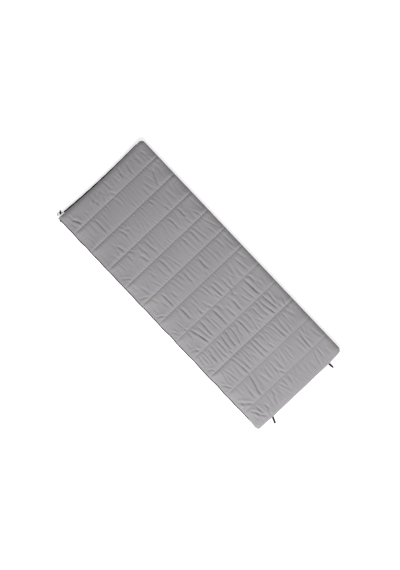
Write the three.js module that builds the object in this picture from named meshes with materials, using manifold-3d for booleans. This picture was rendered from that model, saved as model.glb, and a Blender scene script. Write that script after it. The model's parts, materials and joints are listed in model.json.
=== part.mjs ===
// Camp quilt: a rectangular envelope sleeping bag lying closed. Two padded halves, each a nylon
// shell, a batting and a lining quilted together by straight rows of stitching, are sewn to each
// other down the side seam. A coil zip joins them down the other side and round the foot.
// Millimetres, +Z up. Before the final shift, X runs from the zip side to the side seam, Y from
// the foot to the mouth, and Z = 0 is the floor that the quilt lies on.
import * as THREE from 'three';
import Module from 'manifold-3d';
import { mergeVertices } from 'three/addons/utils/BufferGeometryUtils.js';

const wasm = await Module();
wasm.setup();

// ---- driving sizes -------------------------------------------------------------------------
const LENGTH = 1900; // foot edge to mouth edge
const WIDTH = 755; // zip side to side seam
const HALF_LOFT = 22; // one padded half, at the middle of a channel
const HALF_GAP = 1; // between the two linings
const CLEAR = 0.3; // between pieces that touch

// quilting
const ROW_COUNT = 11; // straight rows of stitching across the width
const END_CHANNEL = 150; // outermost row to the mouth or foot edge
const ROW_SLOPE = 35; // from a row to where its channel reaches full loft
const ROW_THICKNESS = 5; // through all layers at a row
const ROW_PINCH = 1.2; // the lining's own pull at a row
const THREAD = 0.8;

// cloth and edges
const CLOTH = 0.8; // shell or lining, with its turnings
const EDGE_ROLL = 45; // from the outline to full loft
const HEM_FLAT = 16; // the hem's level stretch, over the zip
const CORNER_RADIUS = 24;
const ZIP_CORNER_RADIUS = 6; // mouth corner at the zip
const BATTING_INSET = 4; // the batting stops short of the seam
const SEAM_ROOM = 1; // each half stops this far from the side seam's line
const HEM_RISE_ZIP = 10; // the hem above the plane where the halves meet
const HEM_RISE_MOUTH_UPPER = 3;
const HEM_RISE_MOUTH_LOWER = 14;

// zip
const ZIP_INSET = 5; // zip's plane inside the outline
const ZIP_BEND = 17; // radius round the foot corner
const ZIP_MOUTH_END = 8; // tape's end to the mouth edge
const ZIP_FOOT_END = 60; // bottom stop to the side seam
const TAPE_THICKNESS = 0.7;
const COIL_WIDTH = 2.8;
const COIL_HEIGHT = 2.2; // one half of the coil
const STOP_LENGTH = 3.5;

// slider and puller
const SLIDER_LENGTH = 15;
const SLIDER_TO_MOUTH = 24; // slider's middle to the mouth edge, zip closed
const SLIDER_PLATE = 1.6;
const SLIDER_LIP = 2.6; // flange that holds the coil in
const SLIDER_ROOM = 0.4; // round the coil and the tape
const POST_LENGTH = 4; // joins the two plates
const SLIDER_TAIL_ROOM = 3.2; // to the upper coil's end
const BRIDGE_LENGTH = 8;
const BRIDGE_WIDTH = 2.4;
const BRIDGE_GAP = 2.2; // under the bridge, for the puller's pin
const BRIDGE_THICKNESS = 1.2;
const PULLER_LENGTH = 24;
const PULLER_WIDTH = 7;
const PULLER_THICKNESS = 1.4;
const PULLER_ARM = 1.6;
const PULLER_WINDOW = 5.4; // from the pin to the tab's solid part

// mouth hem and drawcord
const HEM_TUBE_WIDTH = 8.6;
const HEM_TUBE_HEIGHT = 8;
const HEM_TUBE_WALL = 1;
const HEM_TUBE_START = 62; // its open end to the zip side
const HEM_TUBE_END = 70; // its closed end to the side seam
const CORD_DIAMETER = 3;
const CORD_HEIGHT = 6.8; // the cord's centreline above the floor
const KNOT_RADIUS = 3.2;

// cord lock, on the drawcord's free end
const LOCK_RADIUS = 6.5;
const LOCK_BELOW = 12; // closed end to the cord hole's middle
const LOCK_ABOVE = 7; // cord hole's middle to the open end
const LOCK_FLOOR = 1.5;
const LOCK_TRAVEL = 3.5;
const LOCK_HOLE = 4.6; // diameter, for the cord
const PLUNGER_RADIUS = 4.4;
const PLUNGER_HEAD_RADIUS = 5.8;
const PLUNGER_HEAD_LENGTH = 3;
const PLUNGER_END = 1.5; // below its slot
const SPRING_WIRE = 0.7;
const SPRING_RADIUS = 3;
const SPRING_TURNS = 3;

// hanging loops, sewn to the foot edge
const LOOP_LENGTH = 43; // tip to the foot edge
const LOOP_TAPE_WIDTH = 13;
const LOOP_HEIGHT = 5.4; // two plies and the fold between them
const LOOP_PLY = 1.2;
const TACK_OUT = 1.6; // the bartack stands this far off the edge
const TACK_HEIGHT = 4;
const LOOP_LEFT_X = -248;
const LOOP_LEFT_YAW = -21; // degrees, towards the zip side
const LOOP_RIGHT_X = 257;
const LOOP_RIGHT_YAW = 5;

// ---- derived places ------------------------------------------------------------------------
const MID = HALF_GAP / 2 + HALF_LOFT; // the plane where the halves meet
const LEFT = -WIDTH / 2;
const RIGHT = WIDTH / 2;
const FOOT = -LENGTH / 2;
const MOUTH = LENGTH / 2;
const PITCH = (LENGTH - 2 * END_CHANNEL) / (ROW_COUNT - 1);
const HEM_THICKNESS = 2 * CLOTH + CLEAR; // shell on lining, at the outline
const ZIP_X = LEFT + ZIP_INSET;
const ZIP_Y = FOOT + ZIP_INSET;
const ZIP_END_X = RIGHT - ZIP_FOOT_END;
const SLIDER_Y = MOUTH - SLIDER_TO_MOUTH;
const HEM_TUBE_Y = MOUTH + CLEAR + HEM_TUBE_WIDTH / 2;
const rowY = (row) => (row - (ROW_COUNT - 1) / 2) * PITCH;

// ---- materials -----------------------------------------------------------------------------
const finish = (color, roughness, metalness = 0) =>
  new THREE.MeshStandardMaterial({ color, roughness, metalness });
const SHELL_CLOTH = finish(0xa2a0a2, 0.7);
const LINING_CLOTH = finish(0x1c1c1e, 0.75);
const BATTING = finish(0xe8e8e4, 0.95);
const BLACK_TAPE = finish(0x17171a, 0.8);
const BLACK_CORD = finish(0x121214, 0.75);
const BLACK_PLASTIC = finish(0x101012, 0.45);
const GREY_THREAD = finish(0x8e8c90, 0.7);
const BLACK_METAL = finish(0x1a1a1c, 0.4, 0.6);
const SPRING_STEEL = finish(0x9a9ca0, 0.3, 1);

// ---- small helpers -------------------------------------------------------------------------
const sewn = new THREE.Group(); // all but the drawcord's free end
const cordEnd = new THREE.Group(); // the drawcord's free end and what is on it

function addPiece(name, geometry, material, parent = sewn) {
  const mesh = new THREE.Mesh(geometry, material);
  mesh.name = name;
  parent.add(mesh);
  return mesh;
}

function toSolid(geometry) {
  const bare = geometry.clone();
  bare.deleteAttribute('normal');
  bare.deleteAttribute('uv');
  const merged = mergeVertices(bare, 1e-4);
  const vertProperties = new Float32Array(merged.attributes.position.array);
  const triVerts = new Uint32Array(merged.index.array);
  return new wasm.Manifold(new wasm.Mesh({ numProp: 3, vertProperties, triVerts }));
}

function toGeometry(solid) {
  const { vertProperties, triVerts } = solid.getMesh();
  const geometry = new THREE.BufferGeometry();
  geometry.setAttribute('position', new THREE.BufferAttribute(vertProperties, 3));
  geometry.setIndex(new THREE.BufferAttribute(triVerts, 1));
  return geometry;
}

function boxBetween(low, high) {
  const size = high.map((value, axis) => value - low[axis]);
  const middle = high.map((value, axis) => (value + low[axis]) / 2);
  return new THREE.BoxGeometry(...size).translate(...middle);
}

function rod(radius, from, to, sides = 24) {
  // a cylinder along local Z
  return new THREE.CylinderGeometry(radius, radius, to - from, sides)
    .rotateX(Math.PI / 2)
    .translate(0, 0, (from + to) / 2);
}

// ---- the padded halves ---------------------------------------------------------------------
// A half is described by w, the height away from the plane where the halves meet, so the same
// functions make both: the upper half at MID + w and the lower one at MID - w.
const quarterRound = (t) => Math.sqrt(1 - (1 - Math.min(Math.max(t, 0), 1)) ** 2);

function rowDistance(y) {
  let nearest = Infinity;
  for (let row = 0; row < ROW_COUNT; row++) nearest = Math.min(nearest, Math.abs(y - rowY(row)));
  return nearest;
}

const hemShare = (d) => 1 - THREE.MathUtils.smoothstep(d, HEM_FLAT, EDGE_ROLL);

function liningLevel(x, y, mouthRise) {
  const seamFade = Math.min((RIGHT - SEAM_ROOM - x) / EDGE_ROLL, 1);
  const zip = HEM_RISE_ZIP * hemShare(x - LEFT);
  const foot = HEM_RISE_ZIP * hemShare(y - FOOT) * seamFade;
  const mouth = mouthRise * hemShare(MOUTH - y) * seamFade;
  const pinch = ROW_PINCH * (1 - quarterRound(rowDistance(y) / ROW_SLOPE));
  return HALF_GAP / 2 + Math.max(zip, foot, mouth) + pinch * seamFade;
}

function shellLevel(x, y, mouthRise) {
  const lining = liningLevel(x, y, mouthRise);
  const across = quarterRound((x - LEFT) / EDGE_ROLL)
    * quarterRound((RIGHT - SEAM_ROOM - x) / EDGE_ROLL);
  const along = quarterRound((y - FOOT) / EDGE_ROLL) * quarterRound((MOUTH - y) / EDGE_ROLL);
  const puff = quarterRound(rowDistance(y) / ROW_SLOPE);
  const full = HALF_GAP / 2 + HALF_LOFT - lining;
  const spread = (ROW_THICKNESS - HEM_THICKNESS) + (full - ROW_THICKNESS) * puff;
  return lining + HEM_THICKNESS + spread * across * along;
}

// the outline's corners are rounded by drawing each square ring of a corner in to an arc
function roundCorner(x, y) {
  const middleX = (LEFT + RIGHT - SEAM_ROOM) / 2;
  const sideX = Math.sign(x - middleX);
  const sideY = Math.sign(y);
  const radius = sideX < 0 && sideY > 0 ? ZIP_CORNER_RADIUS : CORNER_RADIUS;
  const halfWidth = (WIDTH - SEAM_ROOM) / 2;
  const px = radius - (halfWidth - Math.abs(x - middleX));
  const py = radius - (LENGTH / 2 - Math.abs(y));
  if (px <= 0 || py <= 0) return [x, y];
  const pull = Math.max(px, py) / Math.hypot(px, py) - 1;
  return [x + sideX * px * pull, y + sideY * py * pull];
}

function stations(inset) {
  const edge = [0, BATTING_INSET, HEM_FLAT, EDGE_ROLL].filter((d) => d >= inset);
  const xs = [
    ...edge.map((d) => LEFT + d),
    ...edge.map((d) => RIGHT - SEAM_ROOM - d).reverse(),
  ];
  const ys = [...edge.map((d) => FOOT + d), rowY(0) - ROW_SLOPE];
  for (let row = 0; row < ROW_COUNT; row++) {
    ys.push(rowY(row));
    if (row < ROW_COUNT - 1) ys.push(rowY(row) + ROW_SLOPE, rowY(row + 1) - ROW_SLOPE);
  }
  ys.push(rowY(ROW_COUNT - 1) + ROW_SLOPE, ...edge.map((d) => MOUTH - d).reverse());
  return { xs, ys };
}

// one closed layer between two height fields, over the grid of stations
function layer(inset, low, high) {
  const { xs, ys } = stations(inset);
  const positions = [];
  for (const level of [low, high]) {
    for (const y of ys) {
      for (const x of xs) positions.push(...roundCorner(x, y), level(x, y));
    }
  }
  const columns = xs.length;
  const rows = ys.length;
  const at = (side, row, column) => (side * rows + row) * columns + column;
  const index = [];
  const quad = (a, b, c, d) => index.push(a, b, c, a, c, d);
  for (let j = 0; j < rows - 1; j++) {
    for (let i = 0; i < columns - 1; i++) {
      quad(at(1, j, i), at(1, j, i + 1), at(1, j + 1, i + 1), at(1, j + 1, i));
      quad(at(0, j, i), at(0, j + 1, i), at(0, j + 1, i + 1), at(0, j, i + 1));
    }
    quad(at(0, j + 1, 0), at(0, j, 0), at(1, j, 0), at(1, j + 1, 0));
    quad(at(0, j, columns - 1), at(0, j + 1, columns - 1), at(1, j + 1, columns - 1),
      at(1, j, columns - 1));
  }
  for (let i = 0; i < columns - 1; i++) {
    quad(at(0, 0, i), at(0, 0, i + 1), at(1, 0, i + 1), at(1, 0, i));
    quad(at(0, rows - 1, i + 1), at(0, rows - 1, i), at(1, rows - 1, i), at(1, rows - 1, i + 1));
  }
  const geometry = new THREE.BufferGeometry();
  geometry.setAttribute('position', new THREE.Float32BufferAttribute(positions, 3));
  geometry.setIndex(index);
  return geometry;
}

// a layer from w = near to w = far, on the upper half (side 1) or the lower one (side -1)
function halfLayer(side, inset, near, far) {
  const nearZ = (x, y) => MID + side * near(x, y);
  const farZ = (x, y) => MID + side * far(x, y);
  return side > 0 ? layer(inset, nearZ, farZ) : layer(inset, farZ, nearZ);
}

// a thread that lies in the valley of one row, on the shell
function quiltingStitch(side, row, mouthRise) {
  const y = rowY(row);
  const xs = stations(BATTING_INSET).xs;
  const inner = xs.map((x) => MID + side * (shellLevel(x, y, mouthRise) + CLEAR));
  const outline = xs.map((x, i) => new THREE.Vector2(x, inner[i]));
  for (let i = xs.length - 1; i >= 0; i--) {
    outline.push(new THREE.Vector2(xs[i], inner[i] + side * THREAD));
  }
  return new THREE.ExtrudeGeometry(new THREE.Shape(outline), { depth: THREAD, bevelEnabled: false })
    .rotateX(Math.PI / 2)
    .translate(0, y + THREAD / 2, 0);
}

function paddedHalf(name, side, mouthRise) {
  const lining = (x, y) => liningLevel(x, y, mouthRise);
  const shell = (x, y) => shellLevel(x, y, mouthRise);
  const liningBack = (x, y) => lining(x, y) + CLOTH;
  const shellBack = (x, y) => shell(x, y) - CLOTH;
  const battingNear = (x, y) => liningBack(x, y) + CLEAR / 2;
  const battingFar = (x, y) => shellBack(x, y) - CLEAR / 2;
  addPiece(`${name}_outer_shell`, halfLayer(side, 0, shellBack, shell), SHELL_CLOTH);
  addPiece(`${name}_batting`, halfLayer(side, BATTING_INSET, battingNear, battingFar), BATTING);
  addPiece(`${name}_lining`, halfLayer(side, 0, lining, liningBack), LINING_CLOTH);
  for (let row = 0; row < ROW_COUNT; row++) {
    const number = String(row + 1).padStart(2, '0');
    const stitch = quiltingStitch(side, row, mouthRise);
    addPiece(`${name}_quilting_stitch_${number}`, stitch, GREY_THREAD);
  }
}

function sideSeam() {
  const length = LENGTH - 2 * EDGE_ROLL;
  const thread = new THREE.CylinderGeometry(THREAD / 2, THREAD / 2, length, 8);
  addPiece('side_seam_thread', thread.translate(RIGHT, 0, MID), GREY_THREAD);
}

// ---- zip -----------------------------------------------------------------------------------
// The zip stands on edge in the opening, down the side and round the foot corner: a band of one
// thickness in plan, raised from one height to another.
function zipBand(thickness, mouthEnd, from, to) {
  const half = thickness / 2;
  const centreX = ZIP_X + ZIP_BEND;
  const centreY = ZIP_Y + ZIP_BEND;
  const band = new THREE.Shape();
  band.moveTo(ZIP_X - half, mouthEnd);
  band.lineTo(ZIP_X - half, centreY);
  band.absarc(centreX, centreY, ZIP_BEND + half, Math.PI, 1.5 * Math.PI, false);
  band.lineTo(ZIP_END_X, ZIP_Y - half);
  band.lineTo(ZIP_END_X, ZIP_Y + half);
  band.lineTo(centreX, ZIP_Y + half);
  band.absarc(centreX, centreY, ZIP_BEND - half, 1.5 * Math.PI, Math.PI, true);
  band.lineTo(ZIP_X + half, mouthEnd);
  band.closePath();
  return new THREE.ExtrudeGeometry(band, { depth: to - from, bevelEnabled: false, curveSegments: 6 })
    .translate(0, 0, from);
}

const COIL_NEAR = CLEAR / 2; // the coil halves meet across the middle plane
const COIL_FAR = COIL_NEAR + COIL_HEIGHT;
const TAPE_NEAR = COIL_FAR + CLEAR;
const TAPE_FAR = HALF_GAP / 2 + HEM_RISE_ZIP - CLEAR;
const SLIDER_MOUTH_FACE = SLIDER_Y + SLIDER_LENGTH / 2;
const SLIDER_FOOT_FACE = SLIDER_Y - SLIDER_LENGTH / 2;

function zipSide(name, side, coilEnd) {
  const [tapeLow, tapeHigh] = [TAPE_NEAR, TAPE_FAR].map((w) => MID + side * w).sort((a, b) => a - b);
  const [coilLow, coilHigh] = [COIL_NEAR, COIL_FAR].map((w) => MID + side * w).sort((a, b) => a - b);
  const tape = zipBand(TAPE_THICKNESS, MOUTH - ZIP_MOUTH_END, tapeLow, tapeHigh);
  addPiece(`zip_tape_${name}`, tape, BLACK_TAPE);
  addPiece(`zip_coil_${name}`, zipBand(COIL_WIDTH, coilEnd, coilLow, coilHigh), BLACK_PLASTIC);
  const stopStart = SLIDER_MOUTH_FACE + 2 * CLEAR;
  const stop = boxBetween(
    [ZIP_X - COIL_WIDTH / 2, stopStart, coilLow],
    [ZIP_X + COIL_WIDTH / 2, stopStart + STOP_LENGTH, coilHigh],
  );
  addPiece(`zip_top_stop_${name}`, stop, BLACK_METAL);
}

function bottomStop() {
  const start = ZIP_END_X + CLEAR;
  const half = COIL_WIDTH / 2 + CLEAR;
  const stop = boxBetween(
    [start, ZIP_Y - half, MID - COIL_FAR],
    [start + STOP_LENGTH, ZIP_Y + half, MID + COIL_FAR],
  );
  addPiece('zip_bottom_stop', stop, BLACK_METAL);
}

// The slider's frame: Y along the zip, Z across it, X through it, with the outside at -X. The
// lower coil runs through it; the post stands in the upper coil's way, as a slider's divider does.
function sliderBody() {
  const channelX = COIL_WIDTH / 2 + SLIDER_ROOM;
  const channelZ = COIL_FAR + SLIDER_ROOM;
  const slotX = TAPE_THICKNESS / 2 + SLIDER_ROOM;
  const outerX = channelX + SLIDER_PLATE;
  const outerZ = channelZ + SLIDER_LIP;
  const halfLength = SLIDER_LENGTH / 2;
  const past = halfLength + 1;
  let body = toSolid(boxBetween([-outerX, -halfLength, -outerZ], [outerX, halfLength, outerZ]));
  body = body.subtract(toSolid(boxBetween([-channelX, -past, -channelZ], [channelX, past, channelZ])));
  body = body.subtract(toSolid(boxBetween([-slotX, -past, -outerZ - 1], [slotX, past, outerZ + 1])));
  const post = boxBetween(
    [-channelX - SLIDER_PLATE / 2, halfLength - POST_LENGTH, COIL_NEAR + CLEAR],
    [channelX + SLIDER_PLATE / 2, halfLength, COIL_FAR],
  );
  body = body.add(toSolid(post));
  const bridgeX = -outerX - BRIDGE_GAP - BRIDGE_THICKNESS;
  const bridge = toSolid(boxBetween(
    [bridgeX, -BRIDGE_LENGTH / 2, -BRIDGE_WIDTH / 2],
    [-outerX + SLIDER_PLATE / 2, BRIDGE_LENGTH / 2, BRIDGE_WIDTH / 2],
  ));
  const under = toSolid(boxBetween(
    [-outerX - BRIDGE_GAP, BRIDGE_THICKNESS - BRIDGE_LENGTH / 2, -BRIDGE_WIDTH],
    [-outerX, BRIDGE_LENGTH / 2 - BRIDGE_THICKNESS, BRIDGE_WIDTH],
  ));
  body = body.add(bridge.subtract(under));
  return { geometry: toGeometry(body), pinX: -outerX - BRIDGE_GAP / 2 };
}

// The puller points to the foot. Its pin lies under the bridge, and its window clears the bridge.
function pullerTab() {
  const halfWidth = PULLER_WIDTH / 2;
  const arm = halfWidth - PULLER_ARM;
  const half = PULLER_THICKNESS / 2;
  const outline = new THREE.Shape();
  outline.moveTo(-halfWidth, 0);
  outline.lineTo(-halfWidth, -PULLER_LENGTH + halfWidth);
  outline.absarc(0, -PULLER_LENGTH + halfWidth, halfWidth, Math.PI, 2 * Math.PI, false);
  outline.lineTo(halfWidth, 0);
  outline.closePath();
  const window = new THREE.Path();
  window.moveTo(-arm, -half);
  window.lineTo(arm, -half);
  window.lineTo(arm, -PULLER_WINDOW);
  window.lineTo(-arm, -PULLER_WINDOW);
  window.closePath();
  outline.holes.push(window);
  const plate = new THREE.ExtrudeGeometry(outline, {
    depth: PULLER_THICKNESS, bevelEnabled: false, curveSegments: 8,
  }).translate(0, 0, -half);
  const pin = rod(half, -halfWidth, halfWidth, 12).rotateY(Math.PI / 2);
  // the plate is drawn across X; turn it so that its width stands along Z
  return toGeometry(toSolid(plate).add(toSolid(pin))).rotateY(Math.PI / 2);
}

function zipSlider() {
  const slider = new THREE.Group();
  slider.position.set(ZIP_X, SLIDER_Y, MID);
  sewn.add(slider);
  const { geometry, pinX } = sliderBody();
  addPiece('zip_slider_body', geometry, BLACK_METAL, slider);
  const puller = addPiece('zip_puller', pullerTab(), BLACK_METAL, slider);
  puller.position.set(pinX, 0, 0);
}

// ---- mouth hem and drawcord ----------------------------------------------------------------
function mouthHem() {
  const halfWidth = HEM_TUBE_WIDTH / 2;
  const halfHeight = HEM_TUBE_HEIGHT / 2;
  const section = new THREE.Shape();
  section.moveTo(-halfWidth, -halfHeight);
  section.lineTo(halfWidth, -halfHeight);
  section.lineTo(halfWidth, halfHeight);
  section.lineTo(-halfWidth, halfHeight);
  section.closePath();
  const bore = new THREE.Path();
  const bareWidth = halfWidth - HEM_TUBE_WALL;
  const bareHeight = halfHeight - HEM_TUBE_WALL;
  bore.moveTo(-bareWidth, -bareHeight);
  bore.lineTo(-bareWidth, bareHeight);
  bore.lineTo(bareWidth, bareHeight);
  bore.lineTo(bareWidth, -bareHeight);
  bore.closePath();
  section.holes.push(bore);
  const length = WIDTH - HEM_TUBE_START - HEM_TUBE_END;
  // the section is drawn in Y and Z, and extruded along X
  const tube = new THREE.ExtrudeGeometry(section, { depth: length, bevelEnabled: false })
    .rotateX(Math.PI / 2)
    .rotateZ(Math.PI / 2)
    .translate(LEFT + HEM_TUBE_START, HEM_TUBE_Y, CORD_HEIGHT);
  addPiece('mouth_hem', tube, BLACK_TAPE);
  const cord = new THREE.CylinderGeometry(CORD_DIAMETER / 2, CORD_DIAMETER / 2, length - 1, 8)
    .rotateZ(Math.PI / 2)
    .translate(LEFT + HEM_TUBE_START + (length + 1) / 2, HEM_TUBE_Y, CORD_HEIGHT);
  addPiece('drawcord_in_hem', cord, BLACK_CORD);
}

// The free end's route, from the hem's open end to the knot. Each point is measured from where
// the cord leaves the hem: towards the side seam, towards the mouth's outside, and up.
const TAIL_ROUTE = [
  [0, 0, 0],
  [-3, 0, 0],
  [-5.6, 0.5, 0],
  [-8.2, 1.9, 0],
  [-14.7, 7, 0],
  [-22, 12.7, 0],
  [-29.3, 18.4, 0],
  [-33.2, 21.5, -0.1],
  [-36, 22.9, -0.6],
  [-39, 22.8, -1.4],
  [-41.4, 20.9, -2.3],
  [-42.8, 18.2, -3],
  [-44, 15.4, -3.4],
];
const TAIL_STRAIGHT_FROM = new THREE.Vector3(...TAIL_ROUTE[4]);
const TAIL_STRAIGHT_TO = new THREE.Vector3(...TAIL_ROUTE[6]);
const TAIL_EXIT = new THREE.Vector3(LEFT + HEM_TUBE_START, HEM_TUBE_Y, CORD_HEIGHT);

function drawcordTail() {
  const points = TAIL_ROUTE.map((point) => new THREE.Vector3(...point).add(TAIL_EXIT));
  const route = new THREE.CatmullRomCurve3(points, false, 'centripetal');
  const section = new THREE.Shape();
  section.absarc(0, 0, CORD_DIAMETER / 2, 0, 2 * Math.PI, false);
  const tube = new THREE.ExtrudeGeometry(section, {
    steps: 16, bevelEnabled: false, extrudePath: route, curveSegments: 4,
  });
  addPiece('drawcord_tail', tube, BLACK_CORD, cordEnd);
  const knot = new THREE.SphereGeometry(KNOT_RADIUS, 12, 8);
  const end = points[points.length - 1];
  const onward = end.clone().sub(points[points.length - 2]).normalize();
  const middle = end.clone().addScaledVector(onward, KNOT_RADIUS + CLEAR);
  middle.z = KNOT_RADIUS;
  addPiece('drawcord_knot', knot.translate(...middle), BLACK_CORD, cordEnd);
}

// The lock's frame: X along the cord, away from the hem, and Z along its barrel, to the button.
function cordLock() {
  const along = TAIL_STRAIGHT_TO.clone().sub(TAIL_STRAIGHT_FROM).normalize();
  const across = new THREE.Vector3(-along.y, along.x, 0).negate();
  const lock = new THREE.Group();
  lock.position.copy(TAIL_STRAIGHT_FROM).add(TAIL_STRAIGHT_TO).multiplyScalar(0.5).add(TAIL_EXIT);
  const upright = across.clone().cross(along);
  lock.quaternion.setFromRotationMatrix(new THREE.Matrix4().makeBasis(along, upright, across));
  cordEnd.add(lock);

  const slotLow = -CORD_DIAMETER / 2 - CLEAR;
  const slotHigh = LOCK_TRAVEL + CORD_DIAMETER / 2 + CLEAR;
  const plungerLow = slotLow - PLUNGER_END;
  const headLow = LOCK_ABOVE + LOCK_TRAVEL + 2 * CLEAR;
  const cordHole = rod(LOCK_HOLE / 2, -2 * LOCK_RADIUS, 2 * LOCK_RADIUS, 16).rotateY(Math.PI / 2);
  const bore = rod(PLUNGER_RADIUS + CLEAR, -LOCK_BELOW + LOCK_FLOOR, LOCK_ABOVE + 1);
  const barrel = toSolid(rod(LOCK_RADIUS, -LOCK_BELOW, LOCK_ABOVE))
    .subtract(toSolid(bore))
    .subtract(toSolid(cordHole));
  addPiece('cord_lock_barrel', toGeometry(barrel), BLACK_PLASTIC, lock);

  const slotHalf = CORD_DIAMETER / 2 + CLEAR;
  const slot = boxBetween(
    [-2 * PLUNGER_RADIUS, -slotHalf, slotLow],
    [2 * PLUNGER_RADIUS, slotHalf, slotHigh],
  );
  const plunger = toSolid(rod(PLUNGER_RADIUS, plungerLow, headLow + PLUNGER_HEAD_LENGTH / 2))
    .add(toSolid(rod(PLUNGER_HEAD_RADIUS, headLow, headLow + PLUNGER_HEAD_LENGTH)))
    .subtract(toSolid(slot));
  addPiece('cord_lock_plunger', toGeometry(plunger), BLACK_PLASTIC, lock);

  // the spring as it is when the button is pressed, so the plunger just meets it
  const low = -LOCK_BELOW + LOCK_FLOOR + SPRING_WIRE / 2 + CLEAR / 2;
  const high = plungerLow - LOCK_TRAVEL - SPRING_WIRE / 2 - CLEAR / 2;
  const turns = [];
  const perTurn = 10;
  for (let step = 0; step <= SPRING_TURNS * perTurn; step++) {
    const angle = (2 * Math.PI * step) / perTurn;
    const height = low + ((high - low) * step) / (SPRING_TURNS * perTurn);
    turns.push(new THREE.Vector3(
      SPRING_RADIUS * Math.cos(angle), SPRING_RADIUS * Math.sin(angle), height,
    ));
  }
  const wire = new THREE.Shape();
  wire.absarc(0, 0, SPRING_WIRE / 2, 0, 2 * Math.PI, false);
  const spring = new THREE.ExtrudeGeometry(wire, {
    steps: SPRING_TURNS * perTurn, bevelEnabled: false, curveSegments: 3,
    extrudePath: new THREE.CatmullRomCurve3(turns),
  });
  addPiece('cord_lock_spring', spring, SPRING_STEEL, lock);
}

// ---- hanging loops -------------------------------------------------------------------------
// A loop is a band of tape folded double, a long oval seen from its edge. It is drawn in its own
// frame, round its pivot, pointing to -Y, then dipped to the floor and turned to its yaw.
function hangingLoop(name, x, yawDegrees) {
  const yaw = THREE.MathUtils.degToRad(yawDegrees);
  const radius = LOOP_HEIGHT / 2;
  const seamZ = MID - HALF_GAP / 2 - HEM_RISE_ZIP - HEM_THICKNESS / 2;
  const rootReach = radius * Math.cos(yaw) + (LOOP_TAPE_WIDTH / 2) * Math.abs(Math.sin(yaw));
  const pivotOut = CLEAR + TACK_OUT + CLEAR + rootReach;
  const reach = (LOOP_LENGTH - pivotOut) / Math.cos(yaw) - radius;
  const dip = Math.asin((seamZ - radius - CLEAR / 2) / reach);

  const band = (r) => {
    const path = new THREE.Path();
    path.moveTo(0, -r);
    path.absarc(reach, 0, r, -Math.PI / 2, Math.PI / 2, false);
    path.absarc(0, 0, r, Math.PI / 2, 1.5 * Math.PI, false);
    return path.getPoints(8);
  };
  const outline = new THREE.Shape(band(radius));
  outline.holes.push(new THREE.Path(band(radius - LOOP_PLY)));
  const tape = new THREE.ExtrudeGeometry(outline, { depth: LOOP_TAPE_WIDTH, bevelEnabled: false })
    .translate(0, 0, -LOOP_TAPE_WIDTH / 2)
    .rotateX(Math.PI / 2)
    .rotateZ(-Math.PI / 2);
  const loop = new THREE.Group();
  loop.position.set(x, FOOT - pivotOut, seamZ);
  loop.rotation.set(dip, 0, yaw, 'ZYX');
  sewn.add(loop);
  addPiece(`hanging_loop_${name}`, mergeVertices(tape), BLACK_TAPE, loop);

  const tack = boxBetween(
    [x - LOOP_TAPE_WIDTH / 2, FOOT - CLEAR - TACK_OUT, seamZ - TACK_HEIGHT / 2],
    [x + LOOP_TAPE_WIDTH / 2, FOOT - CLEAR, seamZ + TACK_HEIGHT / 2],
  );
  addPiece(`hanging_loop_bartack_${name}`, tack, BLACK_CORD);
}

// ---- assembly ------------------------------------------------------------------------------
paddedHalf('lower', -1, HEM_RISE_MOUTH_LOWER);
paddedHalf('upper', 1, HEM_RISE_MOUTH_UPPER);
sideSeam();
zipSide('lower', -1, SLIDER_MOUTH_FACE + CLEAR);
zipSide('upper', 1, SLIDER_FOOT_FACE - SLIDER_TAIL_ROOM);
bottomStop();
zipSlider();
mouthHem();
drawcordTail();
cordLock();
hangingLoop('left', LOOP_LEFT_X, LOOP_LEFT_YAW);
hangingLoop('right', LOOP_RIGHT_X, LOOP_RIGHT_YAW);

// the origin is on the floor, under the middle of the sewn quilt's box
const quilt = new THREE.Group();
quilt.add(sewn, cordEnd);
const box = new THREE.Box3().setFromObject(sewn, true);
quilt.position.set(-(box.min.x + box.max.x) / 2, -(box.min.y + box.max.y) / 2, -box.min.z);

export default quilt;
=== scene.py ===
import json
import math

import bpy
import numpy as np
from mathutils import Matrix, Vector

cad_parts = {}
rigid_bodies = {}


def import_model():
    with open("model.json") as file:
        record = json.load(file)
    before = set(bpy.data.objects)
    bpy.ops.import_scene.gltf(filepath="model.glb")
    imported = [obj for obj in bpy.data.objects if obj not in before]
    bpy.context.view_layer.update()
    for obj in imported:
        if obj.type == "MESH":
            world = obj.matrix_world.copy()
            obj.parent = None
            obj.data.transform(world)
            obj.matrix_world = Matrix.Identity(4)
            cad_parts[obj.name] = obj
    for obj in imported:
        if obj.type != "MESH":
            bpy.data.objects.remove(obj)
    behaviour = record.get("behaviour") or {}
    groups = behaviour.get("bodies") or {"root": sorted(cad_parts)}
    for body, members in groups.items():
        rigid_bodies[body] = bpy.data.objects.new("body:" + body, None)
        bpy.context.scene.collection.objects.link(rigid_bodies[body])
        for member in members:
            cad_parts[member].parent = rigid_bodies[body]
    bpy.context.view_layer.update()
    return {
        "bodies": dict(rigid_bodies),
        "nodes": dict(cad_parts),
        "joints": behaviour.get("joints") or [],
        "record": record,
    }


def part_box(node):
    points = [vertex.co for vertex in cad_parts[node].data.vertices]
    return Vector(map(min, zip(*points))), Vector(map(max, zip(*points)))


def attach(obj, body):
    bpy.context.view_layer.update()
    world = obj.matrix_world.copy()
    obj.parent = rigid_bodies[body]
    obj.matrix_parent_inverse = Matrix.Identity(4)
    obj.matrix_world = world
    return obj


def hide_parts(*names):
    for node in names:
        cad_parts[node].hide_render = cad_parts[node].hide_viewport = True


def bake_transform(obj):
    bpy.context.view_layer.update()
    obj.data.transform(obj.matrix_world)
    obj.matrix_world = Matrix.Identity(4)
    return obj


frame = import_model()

# A rectangular padded quilt, closed, seen from straight above. Metres, in the CAD's frame: X from
# the zip side to the sewn side, Y from the foot to the mouth, Z up from the floor.

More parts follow.
